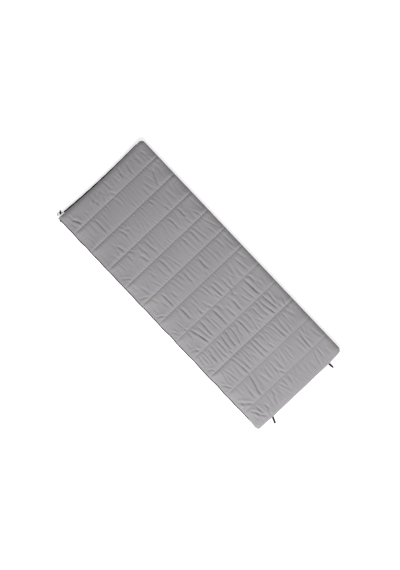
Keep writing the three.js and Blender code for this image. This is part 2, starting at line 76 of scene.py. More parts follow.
# ---------------------------------------------------------------- places read from the frame
SHELL_LOW, SHELL_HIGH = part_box("upper_outer_shell")
LEFT, RIGHT = SHELL_LOW.x, SHELL_HIGH.x
FOOT, MOUTH = SHELL_LOW.y, SHELL_HIGH.y
TOP = SHELL_HIGH.z
SEAM_LOW, SEAM_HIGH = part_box("side_seam_thread")
HINGE = (SEAM_LOW + SEAM_HIGH) / 2
MID = HINGE.z
LOFT = TOP - MID
ROWS = 11
ROW_NODES = [f"quilting_stitch_{row + 1:02d}" for row in range(ROWS)]


def centre(node):
    low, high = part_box(node)
    return (low + high) / 2


ROW_Y = np.array([centre(f"upper_{name}").y for name in ROW_NODES])
CENTRE_X = (LEFT + RIGHT) / 2
CENTRE_Y = (FOOT + MOUTH) / 2
WIDTH, LENGTH = RIGHT - LEFT, MOUTH - FOOT
HEM_LOW, HEM_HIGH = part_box("mouth_hem")
ZIP_X = centre("zip_top_stop_lower").x
ZIP_END_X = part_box("zip_coil_lower")[1].x
COIL_LOW, COIL_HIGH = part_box("zip_coil_lower")
SLIDER = centre("zip_slider_body")

# ---------------------------------------------------------------- camera
VIEW_HEIGHT = 3.716  # metres that the picture's long side covers at the quilt
CAMERA_DISTANCE = 12.0
CAMERA_TURN = math.radians(-43.41)
SENSOR_WIDTH = 36.0  # millimetres


def make_camera():
    data = bpy.data.cameras.new("camera")
    data.sensor_width = SENSOR_WIDTH
    data.lens = SENSOR_WIDTH * CAMERA_DISTANCE / VIEW_HEIGHT
    data.clip_start, data.clip_end = 0.1, 100.0
    camera = bpy.data.objects.new("camera", data)
    camera.location = (CENTRE_X, CENTRE_Y, CAMERA_DISTANCE)
    camera.rotation_euler = (0.0, 0.0, CAMERA_TURN)
    bpy.context.scene.collection.objects.link(camera)
    bpy.context.scene.camera = camera


make_camera()

# ---------------------------------------------------------------- materials
def new_material(name, colour, roughness, sheen=0.0, metallic=0.0, specular=0.5):
    material = bpy.data.materials.new(name)
    material.use_nodes = True
    shader = material.node_tree.nodes["Principled BSDF"]
    shader.inputs["Base Color"].default_value = (*colour, 1.0)
    shader.inputs["Roughness"].default_value = roughness
    shader.inputs["Metallic"].default_value = metallic
    shader.inputs["Specular IOR Level"].default_value = specular
    shader.inputs["Sheen Weight"].default_value = sheen
    return material


def add_node(material, kind, **values):
    node = material.node_tree.nodes.new(kind)
    for key, value in values.items():
        if key in node.inputs:
            node.inputs[key].default_value = value
        else:
            setattr(node, key, value)
    return node


def link(material, source, output, target, socket):
    material.node_tree.links.new(source.outputs[output], target.inputs[socket])


def shader_of(material):
    return material.node_tree.nodes["Principled BSDF"]


PATCH_STOPS = (0.3, 0.7)  # where the drift of colour is darkest and lightest
WARM_TINT = (0.004, 0.0, -0.004)  # how warm the light patches of a cloth are, and cool the dark ones
WEAVE_SHADE = 0.12  # how much the weave darkens the cloth between its threads
WEAVE_RELIEF = 0.25  # the weave's height, as a share of the crumpling's
CLOTH_BUMP = (0.35, 0.0006)  # strength and height in metres, as for the two below
TAPE_BUMP = (0.6, 0.0003)
MOULDED_BUMP = (0.25, 0.0001)
RUBBING = 0.07  # how far rubbed patches differ from the cloth's own roughness
EDGE_HIGHLIGHT_POINTINESS = (0.5, 0.62)  # the pointiness where the painted highlight on a moulded edge starts and where it is strongest


def vary_colour(material, colour, patches, low=0.9, high=1.1, tint=(0.0, 0.0, 0.0)):
    """Colour that drifts over the cloth, from low to high times the base, with a slight tint."""
    place = add_node(material, "ShaderNodeTexCoord")
    noise = add_node(material, "ShaderNodeTexNoise", Scale=patches, Detail=4.0, Roughness=0.6)
    ramp = add_node(material, "ShaderNodeValToRGB")
    dark = [max(0.0, c * low - t) for c, t in zip(colour, tint)]
    light = [c * high + t for c, t in zip(colour, tint)]
    for stop, position, tone in zip(ramp.color_ramp.elements, PATCH_STOPS, (dark, light)):
        stop.position, stop.color = position, (*tone, 1.0)
    link(material, place, "Object", noise, "Vector")
    link(material, noise, "Fac", ramp, "Fac")
    return place, ramp


def weave_height(material, place, thread):
    """Height of a plain weave: threads of that width, crossing at right angles."""
    mix = add_node(material, "ShaderNodeMath", operation="MULTIPLY")
    for socket, direction in enumerate(("X", "Y")):
        wave = add_node(material, "ShaderNodeTexWave", bands_direction=direction,
                        Scale=math.pi / (20.0 * thread), Distortion=0.4, Detail=1.0)
        link(material, place, "Object", wave, "Vector")
        link(material, wave, "Fac", mix, socket)
    return mix


def add_bump(material, height, output, strength, distance):
    bump = add_node(material, "ShaderNodeBump", Strength=strength, Distance=distance)
    link(material, height, output, bump, "Height")
    link(material, bump, "Normal", shader_of(material), "Normal")


def cloth_material(name, colour, roughness, thread, sheen=0.15, patches=3.0, spread=0.05):
    """Woven cloth: a fine plain weave, slow drifts of colour, and soft rubbed patches."""
    material = new_material(name, colour, roughness, sheen, specular=0.3)
    shader = shader_of(material)
    shader.inputs["Sheen Roughness"].default_value = 0.45
    place, ramp = vary_colour(material, colour, patches, 1.0 - spread, 1.0 + spread, WARM_TINT)
    weave = weave_height(material, place, thread)
    shade = add_node(material, "ShaderNodeMix", data_type="RGBA", blend_type="MULTIPLY")
    shade.inputs["Factor"].default_value = WEAVE_SHADE
    link(material, ramp, "Color", shade, "A")
    link(material, weave, "Value", shade, "B")
    link(material, shade, "Result", shader, "Base Color")
    crumple = add_node(material, "ShaderNodeTexNoise", Scale=90.0, Detail=5.0)
    link(material, place, "Object", crumple, "Vector")
    total = add_node(material, "ShaderNodeMath", operation="MULTIPLY_ADD")
    total.inputs[1].default_value = WEAVE_RELIEF
    link(material, weave, "Value", total, 0)
    link(material, crumple, "Fac", total, 2)
    add_bump(material, total, "Value", *CLOTH_BUMP)
    rubbed = add_node(material, "ShaderNodeMapRange")
    rubbed.inputs["To Min"].default_value = roughness - RUBBING
    rubbed.inputs["To Max"].default_value = roughness + RUBBING
    link(material, crumple, "Fac", rubbed, "Value")
    link(material, rubbed, "Result", shader, "Roughness")
    return material


def tape_material(name, colour, roughness, rib):
    """Ribbed woven tape, with a herringbone of fine slanted threads."""
    material = new_material(name, colour, roughness, specular=0.25)
    shader = shader_of(material)
    place, ramp = vary_colour(material, colour, 60.0, 0.75, 1.3)
    link(material, ramp, "Color", shader, "Base Color")
    ribs = add_node(material, "ShaderNodeTexWave", bands_direction="DIAGONAL",
                    Scale=math.pi / (10.0 * rib), Distortion=0.8)
    link(material, place, "Object", ribs, "Vector")
    add_bump(material, ribs, "Fac", *TAPE_BUMP)
    return material


def moulded_material(name, colour, roughness, grain=900.0, metallic=0.0, edge_highlight=0.25):
    """Moulded plastic or painted metal: a fine grain, and convex edges lightened by a painted highlight."""
    material = new_material(name, colour, roughness, 0.0, metallic, 0.35)
    shader = shader_of(material)
    place, ramp = vary_colour(material, colour, 120.0, 0.85, 1.2)
    # painted highlight: convex edges, found by their pointiness, are mixed towards a lighter colour
    geometry = add_node(material, "ShaderNodeNewGeometry")
    edge = add_node(material, "ShaderNodeMapRange")
    edge.inputs["From Min"].default_value, edge.inputs["From Max"].default_value = EDGE_HIGHLIGHT_POINTINESS
    edge.inputs["To Max"].default_value = edge_highlight
    link(material, geometry, "Pointiness", edge, "Value")
    mix = add_node(material, "ShaderNodeMix", data_type="RGBA")
    mix.inputs["B"].default_value = (*[min(1.0, c * 4.0 + 0.06) for c in colour], 1.0)
    link(material, edge, "Result", mix, "Factor")
    link(material, ramp, "Color", mix, "A")
    link(material, mix, "Result", shader, "Base Color")
    noise = add_node(material, "ShaderNodeTexNoise", Scale=grain, Detail=3.0)
    link(material, place, "Object", noise, "Vector")
    add_bump(material, noise, "Fac", *MOULDED_BUMP)
    return material


SHELL_CLOTH = cloth_material("shell_cloth", (0.335, 0.3235, 0.3375), 0.7, 0.0005, spread=0.045)
LINING_CLOTH = cloth_material("lining_cloth", (0.020, 0.020, 0.022), 0.75, 0.0005, 0.05, spread=0.2)
BATTING = cloth_material("batting", (0.78, 0.77, 0.74), 0.95, 0.004, spread=0.05)
SHELL_THREAD = cloth_material("shell_thread", (0.26, 0.25, 0.265), 0.6, 0.0002, spread=0.1)
BLACK_THREAD = cloth_material("black_thread", (0.007, 0.007, 0.008), 0.7, 0.0002, 0.0, spread=0.1)
HEM_CLOTH = cloth_material("hem_cloth", (0.006, 0.006, 0.007), 0.8, 0.0005, 0.0, spread=0.2)
ZIP_TAPE = tape_material("zip_tape", (0.008, 0.008, 0.0085), 0.85, 0.0012)
LOOP_TAPE = tape_material("loop_tape", (0.007, 0.007, 0.0075), 0.8, 0.0016)
CORD_BRAID = tape_material("cord_braid", (0.007, 0.007, 0.0075), 0.75, 0.0012)
ZIP_COIL = moulded_material("zip_coil", (0.009, 0.009, 0.0095), 0.55)
ZIP_METAL = moulded_material("zip_metal", (0.01, 0.01, 0.011), 0.45)
LOCK_PLASTIC = moulded_material("lock_plastic", (0.008, 0.008, 0.0085), 0.5)
SPRING_STEEL = moulded_material("spring_steel", (0.6, 0.61, 0.63), 0.25, metallic=1.0)

# ---------------------------------------------------------------- mesh helpers
def add_mesh(name, points, faces, material, smooth=True):
    mesh = bpy.data.meshes.new(name)
    faces = faces.tolist() if isinstance(faces, np.ndarray) else faces
    mesh.from_pydata(np.asarray(points, float).tolist(), [], faces)
    mesh.polygons.foreach_set("use_smooth", [smooth] * len(mesh.polygons))
    mesh.update()
    return add_object(name, mesh, material)


def add_object(name, data, material):
    data.materials.append(material)
    piece = bpy.data.objects.new(name, data)
    bpy.context.scene.collection.objects.link(piece)
    return piece


def hand_over(piece, slot, body, *nodes):
    """Hangs a piece on the body it rides on, and hides the CAD nodes that it stands for. The slot is not
    used.
    """
    if nodes:
        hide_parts(*nodes)
    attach(piece, body)


def grid_faces(rows, columns, first=0, flip=False):
    """Quads of a grid of points stored row by row."""
    j, i = np.meshgrid(np.arange(rows - 1), np.arange(columns - 1), indexing="ij")
    a, b = j * columns + i, j * columns + i + 1
    quads = np.stack([a, b, b + columns, a + columns], axis=-1).reshape(-1, 4) + first
    return quads[:, ::-1] if flip else quads


def ring_faces(count, sides):
    """Quads between the rings of a tube, whose points are stored ring by ring."""
    faces = []
    for j in range(count - 1):
        for k in range(sides):
            a, b = j * sides + k, j * sides + (k + 1) % sides
            faces.append((a, b, b + sides, a + sides))
    return faces


def capped_faces(count, sides):
    """The same, with a fan over each end, to two more points that follow the last ring."""
    faces = ring_faces(count, sides)
    last = (count - 1) * sides
    for k in range(sides):
        after = (k + 1) % sides
        faces.append((count * sides, after, k))
        faces.append((count * sides + 1, last + k, last + after))
    return faces


def circle(sides):
    return np.linspace(0.0, 2.0 * math.pi, sides, endpoint=False)


def closed_sheet(name, inner, outer, material):
    """A closed sheet between two grids of points, with a rim round its edge."""
    rows, columns, _ = outer.shape
    count = rows * columns
    points = np.concatenate([inner.reshape(-1, 3), outer.reshape(-1, 3)])
    faces = [grid_faces(rows, columns, 0, flip=True), grid_faces(rows, columns, count)]
    index = np.arange(count).reshape(rows, columns)
    rim = np.concatenate([index[0], index[1:, -1], index[-1, -2::-1], index[-2:0:-1, 0]])
    after = np.roll(rim, -1)
    faces.append(np.stack([rim, after, after + count, rim + count], -1))
    return add_mesh(name, points, np.concatenate(faces), material)


def grid_normals(points):
    """Unit normals of a grid of points."""
    normals = np.cross(np.gradient(points, axis=1), np.gradient(points, axis=0))
    return normals / np.maximum(np.linalg.norm(normals, axis=-1, keepdims=True), 1e-12)


def tube_points(path, radii, sides, flat=1.0):
    """Rings of points round a path: one radius for each point of the path."""
    path = np.asarray(path, float)
    along = np.gradient(path, axis=0)
    along /= np.linalg.norm(along, axis=1)[:, None]
    up = np.tile([0.0, 0.0, 1.0], (len(path), 1))
    side = np.cross(along, up)
    short = np.linalg.norm(side, axis=1) < 1e-3
    side[short] = [1.0, 0.0, 0.0]
    side /= np.linalg.norm(side, axis=1)[:, None]
    normal = np.cross(side, along)
    angle = circle(sides)
    radii = np.broadcast_to(np.asarray(radii, float), (len(path),))[:, None, None]
    ring = (np.cos(angle)[None, :, None] * side[:, None, :]
            + flat * np.sin(angle)[None, :, None] * normal[:, None, :])
    return path[:, None, :] + radii * ring


def add_tube(name, path, radius, sides, material):
    """A closed tube along a path, with a fan over each end."""
    rings = tube_points(path, radius, sides)
    points = np.concatenate([rings.reshape(-1, 3), [path[0]], [path[-1]]])
    faces = [face[::-1] for face in capped_faces(len(rings), sides)]
    return add_mesh(name, points, faces, material)


def scatter(name, shape_points, shape_faces, places, material):
    """Many copies of one small closed shape in one mesh. Each place is a 3x4 matrix."""
    shape_points = np.asarray(shape_points, float)
    shape_faces = np.asarray(shape_faces)
    turned = np.einsum("nij,pj->npi", places[:, :, :3], shape_points) + places[:, None, :, 3]
    count = len(shape_points)
    faces = shape_faces[None, :, :] + (np.arange(len(places)) * count)[:, None, None]
    return add_mesh(name, turned.reshape(-1, 3), faces.reshape(-1, shape_faces.shape[1]), material)


def capsule(length, radius, sides=6, rings=4, flat=0.6):
    """A short rounded thread or tooth along X, as closed quads (its ends come to small squares)."""
    points = []
    for k in range(rings + 1):
        t = -1.0 + 2.0 * k / rings
        size = radius * math.sqrt(max(0.06, 1.0 - abs(t) ** 3))
        for s in range(sides):
            angle = 2.0 * math.pi * s / sides
            points.append((t * length / 2.0, size * math.cos(angle), flat * size * math.sin(angle)))
    faces = [(a, d, c, b) for a, b, c, d in ring_faces(rings + 1, sides)]
    half = sides // 2
    for k, turn in ((0, 1), (rings, -1)):
        ring = [k * sides + s for s in range(sides)]
        for s in range(half - 1):
            quad = (ring[s], ring[s + 1], ring[sides - 2 - s], ring[sides - 1 - s])
            faces.append(quad[::turn])
    return np.array(points), np.array(faces)


def smoothstep(value, low, high):
    t = np.clip((value - low) / (high - low), 0.0, 1.0)
    return t * t * (3.0 - 2.0 * t)


ZIP_STEEP, SEAM_STEEP, MOUTH_STEEP = 2.3, 3.3, 3.6
FOLD_ROOM = 0.002  # left between the smooth shell and the full loft, for its folds


def edge_rise(t, power=ZIP_STEEP):
    """How a half fills out from its hem: steepest at the edge, level at full loft."""
    return 1.0 - (1.0 - np.clip(t, 0.0, 1.0)) ** power


def quarter_round(t):
    t = np.clip(t, 0.0, 1.0)
    return np.sqrt(1.0 - (1.0 - t) ** 2)

# ---------------------------------------------------------------- the quilt's form
EDGE_ROLL = 0.045  # how far in from an edge the quilt reaches its full loft
HEM_FLAT = 0.016
HEM_END = EDGE_ROLL + 0.01  # where the lining has come down from the hem
HEM_RISE = 0.010
MOUTH_RISE = {"upper": 0.003, "lower": 0.014}
HEM_THICKNESS = 0.0019
ROW_THICKNESS = 0.0042
HALF_GAP = 0.0005  # from the plane where the halves meet to each lining
ROW_SLOPE = 0.026
LINING_PINCH = 0.0052
LINING_SLOPE = 0.032
CORNER_RADIUS = 0.026
ZIP_CORNER_RADIUS = 0.007
CLOTH = 0.0006  # thickness
SIDE = {"upper": 1.0, "lower": -1.0}
# how deep each row sits, from the foot: the rows near the foot lie slacker
ROW_DEPTH = np.array([0.26, 0.28, 0.66, 0.3, 0.32, 0.5, 0.56, 0.56, 0.6, 0.62, 0.56])
ROW_PUCKER = np.array([0.35, 0.35, 0.75, 0.5, 0.5, 0.8, 0.95, 1.0, 1.1, 1.1, 1.0])


def wavy(t, seed, size, pieces):
    """A smooth random line: sums of sines whose wavelengths are near size."""
    local = np.random.default_rng(seed)
    total = np.zeros_like(t)
    for _ in range(pieces):
        wavelength = size * local.uniform(0.5, 1.8)
        total += np.sin(2.0 * math.pi * t / wavelength + local.uniform(0.0, 6.28)) * local.uniform(0.4, 1.0)
    return total / pieces


def mouth_dip(x):
    """How far the mouth edge hangs back between the hem's two ends, 0 to 1."""
    t = np.clip((x - HEM_LOW.x) / (RIGHT - 0.03 - HEM_LOW.x), 0.0, 1.0)
    return 1.0 - (2.0 * t - 1.0) ** 2


MOUTH_DIP = 0.011
MOUTH_BACK = 0.0020  # how far the shell's edge stops short of the mouth, at the zip end
ZIP_BARE = 0.0105  # the hem stops this far inside the outline, and leaves the coil bare
FOOT_BACK = 0.006
FOOT_WAVE = 0.0016
LOWER_SHORT = 0.003  # how much the lower half stops short of the upper one at the zip
SEAM_NIP, NIP_REACH = 0.0015, 0.012  # how the rows of stitching nip the seam side in
ZIP_WAVE, ZIP_INSET = 0.0045, 0.0008
# how far each edge's own shape carries into the cloth
CARRY = {"zip": 0.16, "seam": 0.10, "mouth": 0.14, "foot": 0.12}


def zip_wave(y):
    """How far the zip's own line waves inwards along its side, straight by its slider and its bend."""
    ends = smoothstep(MOUTH - y, 0.035, 0.09) * smoothstep(y - FOOT, 0.105, 0.19)
    return ends * (ZIP_WAVE * wavy(y, 5, 0.13, 4) - ZIP_INSET)


def plan(x, y, half):
    """Where a point of the flat pattern lies in plan: rounded corners and slack edges."""
    side_x, side_y = np.sign(x - CENTRE_X), np.sign(y - CENTRE_Y)
    at_zip_mouth = (side_x < 0) & (side_y > 0)
    radius = np.where(at_zip_mouth, ZIP_CORNER_RADIUS, CORNER_RADIUS)
    px = np.maximum(radius - (WIDTH / 2 - np.abs(x - CENTRE_X)), 0.0)
    py = np.maximum(radius - (LENGTH / 2 - np.abs(y - CENTRE_Y)), 0.0)
    both = (px > 0) & (py > 0)
    pull = np.where(both, np.maximum(px, py) / np.maximum(np.hypot(px, py), 1e-9) - 1.0, 0.0)
    new_x, new_y = x + side_x * px * pull, y + side_y * py * pull
    near_zip = 1.0 - smoothstep(x - LEFT, 0.0, CARRY["zip"])
    nearest = np.abs(y[..., None] - ROW_Y).min(-1)
    bare = ZIP_BARE * smoothstep(MOUTH - y, 0.001, 0.018) * smoothstep(y - FOOT, 0.02, 0.12)
    short = LOWER_SHORT if half == "lower" else 0.0
    new_x = new_x + near_zip * (bare + zip_wave(y) + short)
    near_seam = 1.0 - smoothstep(RIGHT - x, 0.0, CARRY["seam"])
    nip = SEAM_NIP * np.exp(-(nearest / NIP_REACH) ** 2)
    new_x = new_x - near_seam * nip * (RIGHT - x > 0.001)
    near_mouth = 1.0 - smoothstep(MOUTH - y, 0.0, CARRY["mouth"])
    back = MOUTH_BACK * np.clip((RIGHT - x) / WIDTH, 0.0, 1.0)
    new_y = new_y - near_mouth * (back + MOUTH_DIP * mouth_dip(x))
    near_foot = 1.0 - smoothstep(y - FOOT, 0.0, CARRY["foot"])
    across = np.clip(np.abs(x - CENTRE_X) / (WIDTH / 2), 0.0, 1.0)
    foot_back = FOOT_BACK * smoothstep(across, 0.62, 1.0) + FOOT_WAVE * (1.0 + wavy(x, 9, 0.2, 4))
    new_y = new_y + near_foot * (foot_back + short)
    return new_x, new_y


def row_share(y):
    """How far each y is from the nearest row of stitching, and which row that is."""
    gap = np.abs(y[..., None] - ROW_Y)
    return gap.min(-1), gap.argmin(-1)


def lining_level(x, y, half):
    """Height of the lining above the plane where the halves meet: up at the hems and the rows."""
    seam_fade = np.clip((RIGHT - x) / EDGE_ROLL, 0.0, 1.0)
    zip_rise = HEM_RISE * (1.0 - smoothstep(x - LEFT, HEM_FLAT, HEM_END))
    foot_rise = HEM_RISE * (1.0 - smoothstep(y - FOOT, HEM_FLAT, HEM_END)) * seam_fade
    mouth_rise = MOUTH_RISE[half] * (1.0 - smoothstep(MOUTH - y, HEM_FLAT, HEM_END)) * seam_fade
    distance, nearest = row_share(y)
    drawn = 1.0 - quarter_round(distance / LINING_SLOPE) ** 0.9
    pinch = LINING_PINCH * (0.6 + 0.4 * ROW_DEPTH[nearest]) * drawn * seam_fade
    return HALF_GAP + np.maximum(np.maximum(zip_rise, foot_rise), np.maximum(mouth_rise, pinch))


def shell_level(x, y, half):
    """Height of the shell above the plane where the halves meet, without its wrinkles."""
    lining = lining_level(x, y, half)
    across = edge_rise((x - LEFT) / EDGE_ROLL) * edge_rise((RIGHT - x) / EDGE_ROLL, SEAM_STEEP)
    along = edge_rise((y - FOOT) / EDGE_ROLL) * edge_rise((MOUTH - y) / EDGE_ROLL, MOUTH_STEEP)
    distance, nearest = row_share(y)
    puff = 1.0 - ROW_DEPTH[nearest] * (1.0 - quarter_round(distance / ROW_SLOPE) ** 0.8)
    full = LOFT - FOLD_ROOM - lining
    spread = (ROW_THICKNESS - HEM_THICKNESS) + (full - ROW_THICKNESS) * puff
    return lining + HEM_THICKNESS + spread * across * along


EDGE_STATIONS = np.array([0.0, 0.0004, 0.0012, 0.0026, 0.0046, 0.0072, 0.0105, 0.0145])
EDGE_LAST = 0.0185  # where the even steps start
ROW_CLOSE = 0.026  # how far from a row of stitching the steps are close


def stations(low, high, step):
    """Even steps, with closer ones where the edge rolls over."""
    count = int(round((high - low - 2 * EDGE_LAST) / step)) + 1
    inner = np.linspace(low + EDGE_LAST, high - EDGE_LAST, count)
    return np.concatenate([low + EDGE_STATIONS, inner, high - EDGE_STATIONS[::-1]])


def row_stations(near, far=None):
    """Stations along the length that fall on every row of stitching, closer together near one."""
    far = far or near
    pitch = ROW_Y[1] - ROW_Y[0]

    def one_side(reach):
        outer = max(2, int(round((reach - ROW_CLOSE) / far)))
        return np.concatenate([np.arange(0.0, ROW_CLOSE, near), np.linspace(ROW_CLOSE, reach, outer)])

    def between(low, high):
        half = one_side((high - low) / 2)
        return np.concatenate([low + half, high - half[-2:0:-1]])

    parts = [FOOT + EDGE_STATIONS, (ROW_Y[0] - one_side(ROW_Y[0] - FOOT - EDGE_LAST))[:0:-1]]
    parts += [between(low, low + pitch) for low in ROW_Y[:-1]]
    parts += [ROW_Y[-1] + one_side(MOUTH - ROW_Y[-1] - EDGE_LAST), MOUTH - EDGE_STATIONS[::-1]]
    return np.concatenate(parts)


# ---------------------------------------------------------------- slack cloth, by simulation
SIM_STEP = 0.0095
SIM_FRAMES = 26
SLACK, SLACK_DRIFT = 0.035, 0.012  # how much wider the shell is cut than its place
PINNED_HEM = 0.012  # how far in from the outline the cloth is held
MOST_MOVED = 0.006
CLOTH_SETTINGS = {
    "quality": 5, "mass": 0.12, "air_damping": 3.0, "tension_stiffness": 25.0,
    "compression_stiffness": 25.0, "shear_stiffness": 6.0, "bending_stiffness": 0.05,
    "use_pressure": True, "uniform_pressure_force": 0.5,
}


def evaluated_mesh(piece):
    """The piece's mesh with its modifiers worked in."""
    graph = bpy.context.evaluated_depsgraph_get()
    return bpy.data.meshes.new_from_object(piece.evaluated_get(graph))


def inflate(points, pinned, slack):
    """The grid of points as cloth: pinned where it is sewn, cut wider than its place, blown up."""
    rows, columns, _ = points.shape
    faces = grid_faces(rows, columns)
    piece = add_mesh("cloth", points.reshape(-1, 3), faces, SHELL_CLOTH)
    held = piece.vertex_groups.new(name="held")
    held.add(np.flatnonzero(pinned.ravel()).tolist(), 1.0, "REPLACE")
    piece.shape_key_add(name="Basis")
    cut_key = piece.shape_key_add(name="cut")
    cut_points = points.copy()
    cut_points[..., 0] = LEFT + (points[..., 0] - LEFT) * (1.0 + slack)
    cut_key.data.foreach_set("co", cut_points.ravel())
    cloth = piece.modifiers.new("cloth", "CLOTH")
    settings = cloth.settings
    for key, value in CLOTH_SETTINGS.items():
        setattr(settings, key, value)
    settings.vertex_group_mass = "held"
    settings.rest_shape_key = cut_key
    settings.effector_weights.gravity = 0.0
    cloth.collision_settings.use_collision = False
    cloth.collision_settings.use_self_collision = False
    cloth.point_cache.frame_start, cloth.point_cache.frame_end = 1, SIM_FRAMES
    scene = bpy.context.scene
    for frame in range(1, SIM_FRAMES + 1):
        scene.frame_set(frame)
    result = evaluated_mesh(piece)
    moved = np.empty(rows * columns * 3)
    result.vertices.foreach_get("co", moved)
    scene.frame_set(1)
    bpy.data.objects.remove(piece, do_unlink=True)
    return moved.reshape(rows, columns, 3)


def resample(field, from_rows, from_columns, to_rows, to_columns):
    """A grid of values at other rows and columns, in straight lines between its own."""
    at = np.interp(to_rows, from_rows, np.arange(len(from_rows)))
    low = np.minimum(at.astype(int), len(from_rows) - 2)
    part = (at - low).reshape(-1, *[1] * (field.ndim - 1))
    field = field[low] * (1.0 - part) + field[low + 1] * part
    at = np.interp(to_columns, from_columns, np.arange(len(from_columns)))
    low = np.minimum(at.astype(int), len(from_columns) - 2)
    part = (at - low).reshape(1, -1, *[1] * (field.ndim - 2))
    return field[:, low] * (1.0 - part) + field[:, low + 1] * part


def soften(field, times):
    """Evens out a grid of values, all but its edges."""
    for _ in range(times):
        for axis in (0, 1):
            before, after = np.roll(field, 1, axis), np.roll(field, -1, axis)
            mixed = 0.25 * before + 0.5 * field + 0.25 * after
            edge = [slice(None)] * field.ndim
            edge[axis] = slice(1, -1)
            field = field.copy()
            field[tuple(edge)] = mixed[tuple(edge)]
    return field


def slack_cloth(half):
    """How simulation moves the shell of one half, and the grid it is known on."""
    columns, rows = stations(LEFT, RIGHT, SIM_STEP), row_stations(SIM_STEP)
    x, y = np.meshgrid(columns, rows)
    level = shell_level(x, y, half)
    new_x, new_y = plan(x, y, half)
    points = np.stack([new_x, new_y, MID + level], -1)
    distance, _ = row_share(y)
    outline = np.minimum(np.minimum(x - LEFT, RIGHT - x), np.minimum(y - FOOT, MOUTH - y))
    pinned = (distance < 0.0005) | (outline < PINNED_HEM)
    seed = {"upper": 11, "lower": 23}[half]
    slack = SLACK + SLACK_DRIFT * wavy(y, seed, 0.5, 4)
    moved = inflate(points, pinned, slack) - points
    moved[..., 2] -= moved[..., 2].mean(1, keepdims=True)
    return rows, columns, np.clip(moved, -MOST_MOVED, MOST_MOVED)


# ---------------------------------------------------------------- creases laid over the cloth
# Main folds of the upper shell, in millimetres from the quilt's middle: start, end, depth.
MAIN_FOLDS = [
    (-116, 914, -136, 868, 2.2), (-77, 901, -123, 829, 2.4), (-44, 888, -84, 816, 2.0),
    (8, 934, 8, 842, 1.8), (138, 934, 119, 842, 3.4), (-319, 881, -286, 816, 3.4),
    (204, 914, 178, 838, 2.2), (262, 905, 269, 832, 1.8), (315, 900, 318, 850, 1.6),
    (-204, 784, -204, 660, 3.4), (302, 764, 249, 660, 3.4), (-136, 620, -123, 555, 2.2),
    (-110, 600, -90, 575, 1.8), (-214, 555, -208, 490, 2.2), (145, 620, 145, 590, 2.0),
    (191, 530, 186, 490, 2.0), (-149, 412, -136, 334, 2.2), (-110, 464, -107, 386, 2.0),
    (-60, 464, -58, 360, 2.0), (149, 464, 152, 347, 3.4), (243, 464, 240, 386, 3.2),
    (-208, 470, -211, 410, 1.8), (-77, 308, -73, 177, 2.4), (197, 308, 194, 203, 2.4),
    (125, 300, 122, 240, 1.8), (-175, 290, -172, 230, 1.8), (-220, 138, -216, 8, 3.4),
    (116, 138, 116, 34, 3.2), (-12, 138, -18, 47, 2.2), (-162, 100, -160, 47, 1.8),
    (-195, -18, -195, -123, 3.2), (-107, -110, -107, -150, 1.8), (-44, -120, -44, -156, 1.6),
    (54, -44, 60, -158, 3.2), (138, -136, 112, -188, 2.4), (-273, -136, -270, -158, 1.6),
    (-247, -164, -208, -316, 3.4), (-155, -164, -162, -305, 3.2), (-110, -164, -107, -292, 2.2),
    (-44, -164, -44, -318, 2.2), (27, -214, 31, -305, 2.0), (93, -214, 86, -305, 3.0),
    (236, -164, 249, -318, 3.2), (269, -164, 272, -230, 2.0), (-162, -644, -201, -798, 3.2),
    (262, -670, 249, -798, 2.4), (-358, -722, -279, -798, 2.6), (-332, -816, -266, -925, 2.6),
    (-279, -820, -260, -925, 2.2), (-214, -866, -247, -928, 2.4), (-123, -813, -175, -918, 2.4),
    (-60, -660, -70, -770, 1.4), (30, -665, 22, -780, 1.4), (120, -660, 112, -770, 1.6),
]
# Where folds cross the two channels below the slack row, right through from row to row.
NINTH_CHANNEL = [-293, -253, -221, -168, -129, -90, -57, -12, 27, 86, 112, 151, 191, 223, 256, 282]
TENTH_CHANNEL = [-168, -129, -84, -44, -12, 21, 67, 112, 145, 178, 210, 262]
MM = 0.001
MAIN_BOOST, MAIN_DEEPEST = 2.0, 3.0
MAIN_WIDTH = (6.2, 8.0)
CHANNEL_BOOST, CHANNEL_WIDTH = 2.1, (5.0, 7.0)
SMALL_WIDTH = (5.0, 8.5)
SMALL_PITCH = (0.016, 0.05)
SHORTEST_FOLD = 0.03
PUCKER_PITCH, PUCKER_REACH, PUCKER_WIDTH = (0.013, 0.027), (0.012, 0.034), (2.8, 4.4)
TUCK_PITCH, TUCK_REACH, TUCK_WIDTH = (0.016, 0.045), (0.018, 0.05), (3.0, 5.0)
# small folds of each channel, from the foot: their mean depth in millimetres
FOLD_DEPTH = [1.9, 2.0, 2.2, 2.6, 2.6, 2.2, 1.8, 1.8, 1.8, 1.8, 1.7, 1.9]


def add_fold(height, x, y, start, end, depth, width, bend=0.0, taper=0.25):
    """Presses one crease into a height field: a groove with soft shoulders, fading to its ends."""
    start, end = np.asarray(start, float), np.asarray(end, float)
    length = float(np.linalg.norm(end - start))
    along = (end - start) / length
    across = np.array([-along[1], along[0]])
    reach = 5.0 * width + abs(bend)
    low, high = np.minimum(start, end) - reach, np.maximum(start, end) + reach
    rows = slice(*np.searchsorted(y[:, 0], [low[1], high[1]]))
    columns = slice(*np.searchsorted(x[0], [low[0], high[0]]))
    px, py = x[rows, columns] - start[0], y[rows, columns] - start[1]
    s = (px * along[0] + py * along[1]) / length
    curve = bend * (1.0 - (2.0 * np.clip(s, 0.0, 1.0) - 1.0) ** 2)
    d = np.abs(px * across[0] + py * across[1] - curve)
    fade = smoothstep(s, -0.03, taper) * (1.0 - smoothstep(s, 1.0 - taper, 1.03))
    groove = 0.7 * np.exp(-(d / width) ** 2) + 0.5 * np.exp(-d / (0.55 * width))
    shoulder = np.exp(-((d - 2.1 * width) / (1.4 * width)) ** 2)
    height[rows, columns] += depth * fade * (0.6 * shoulder - groove)


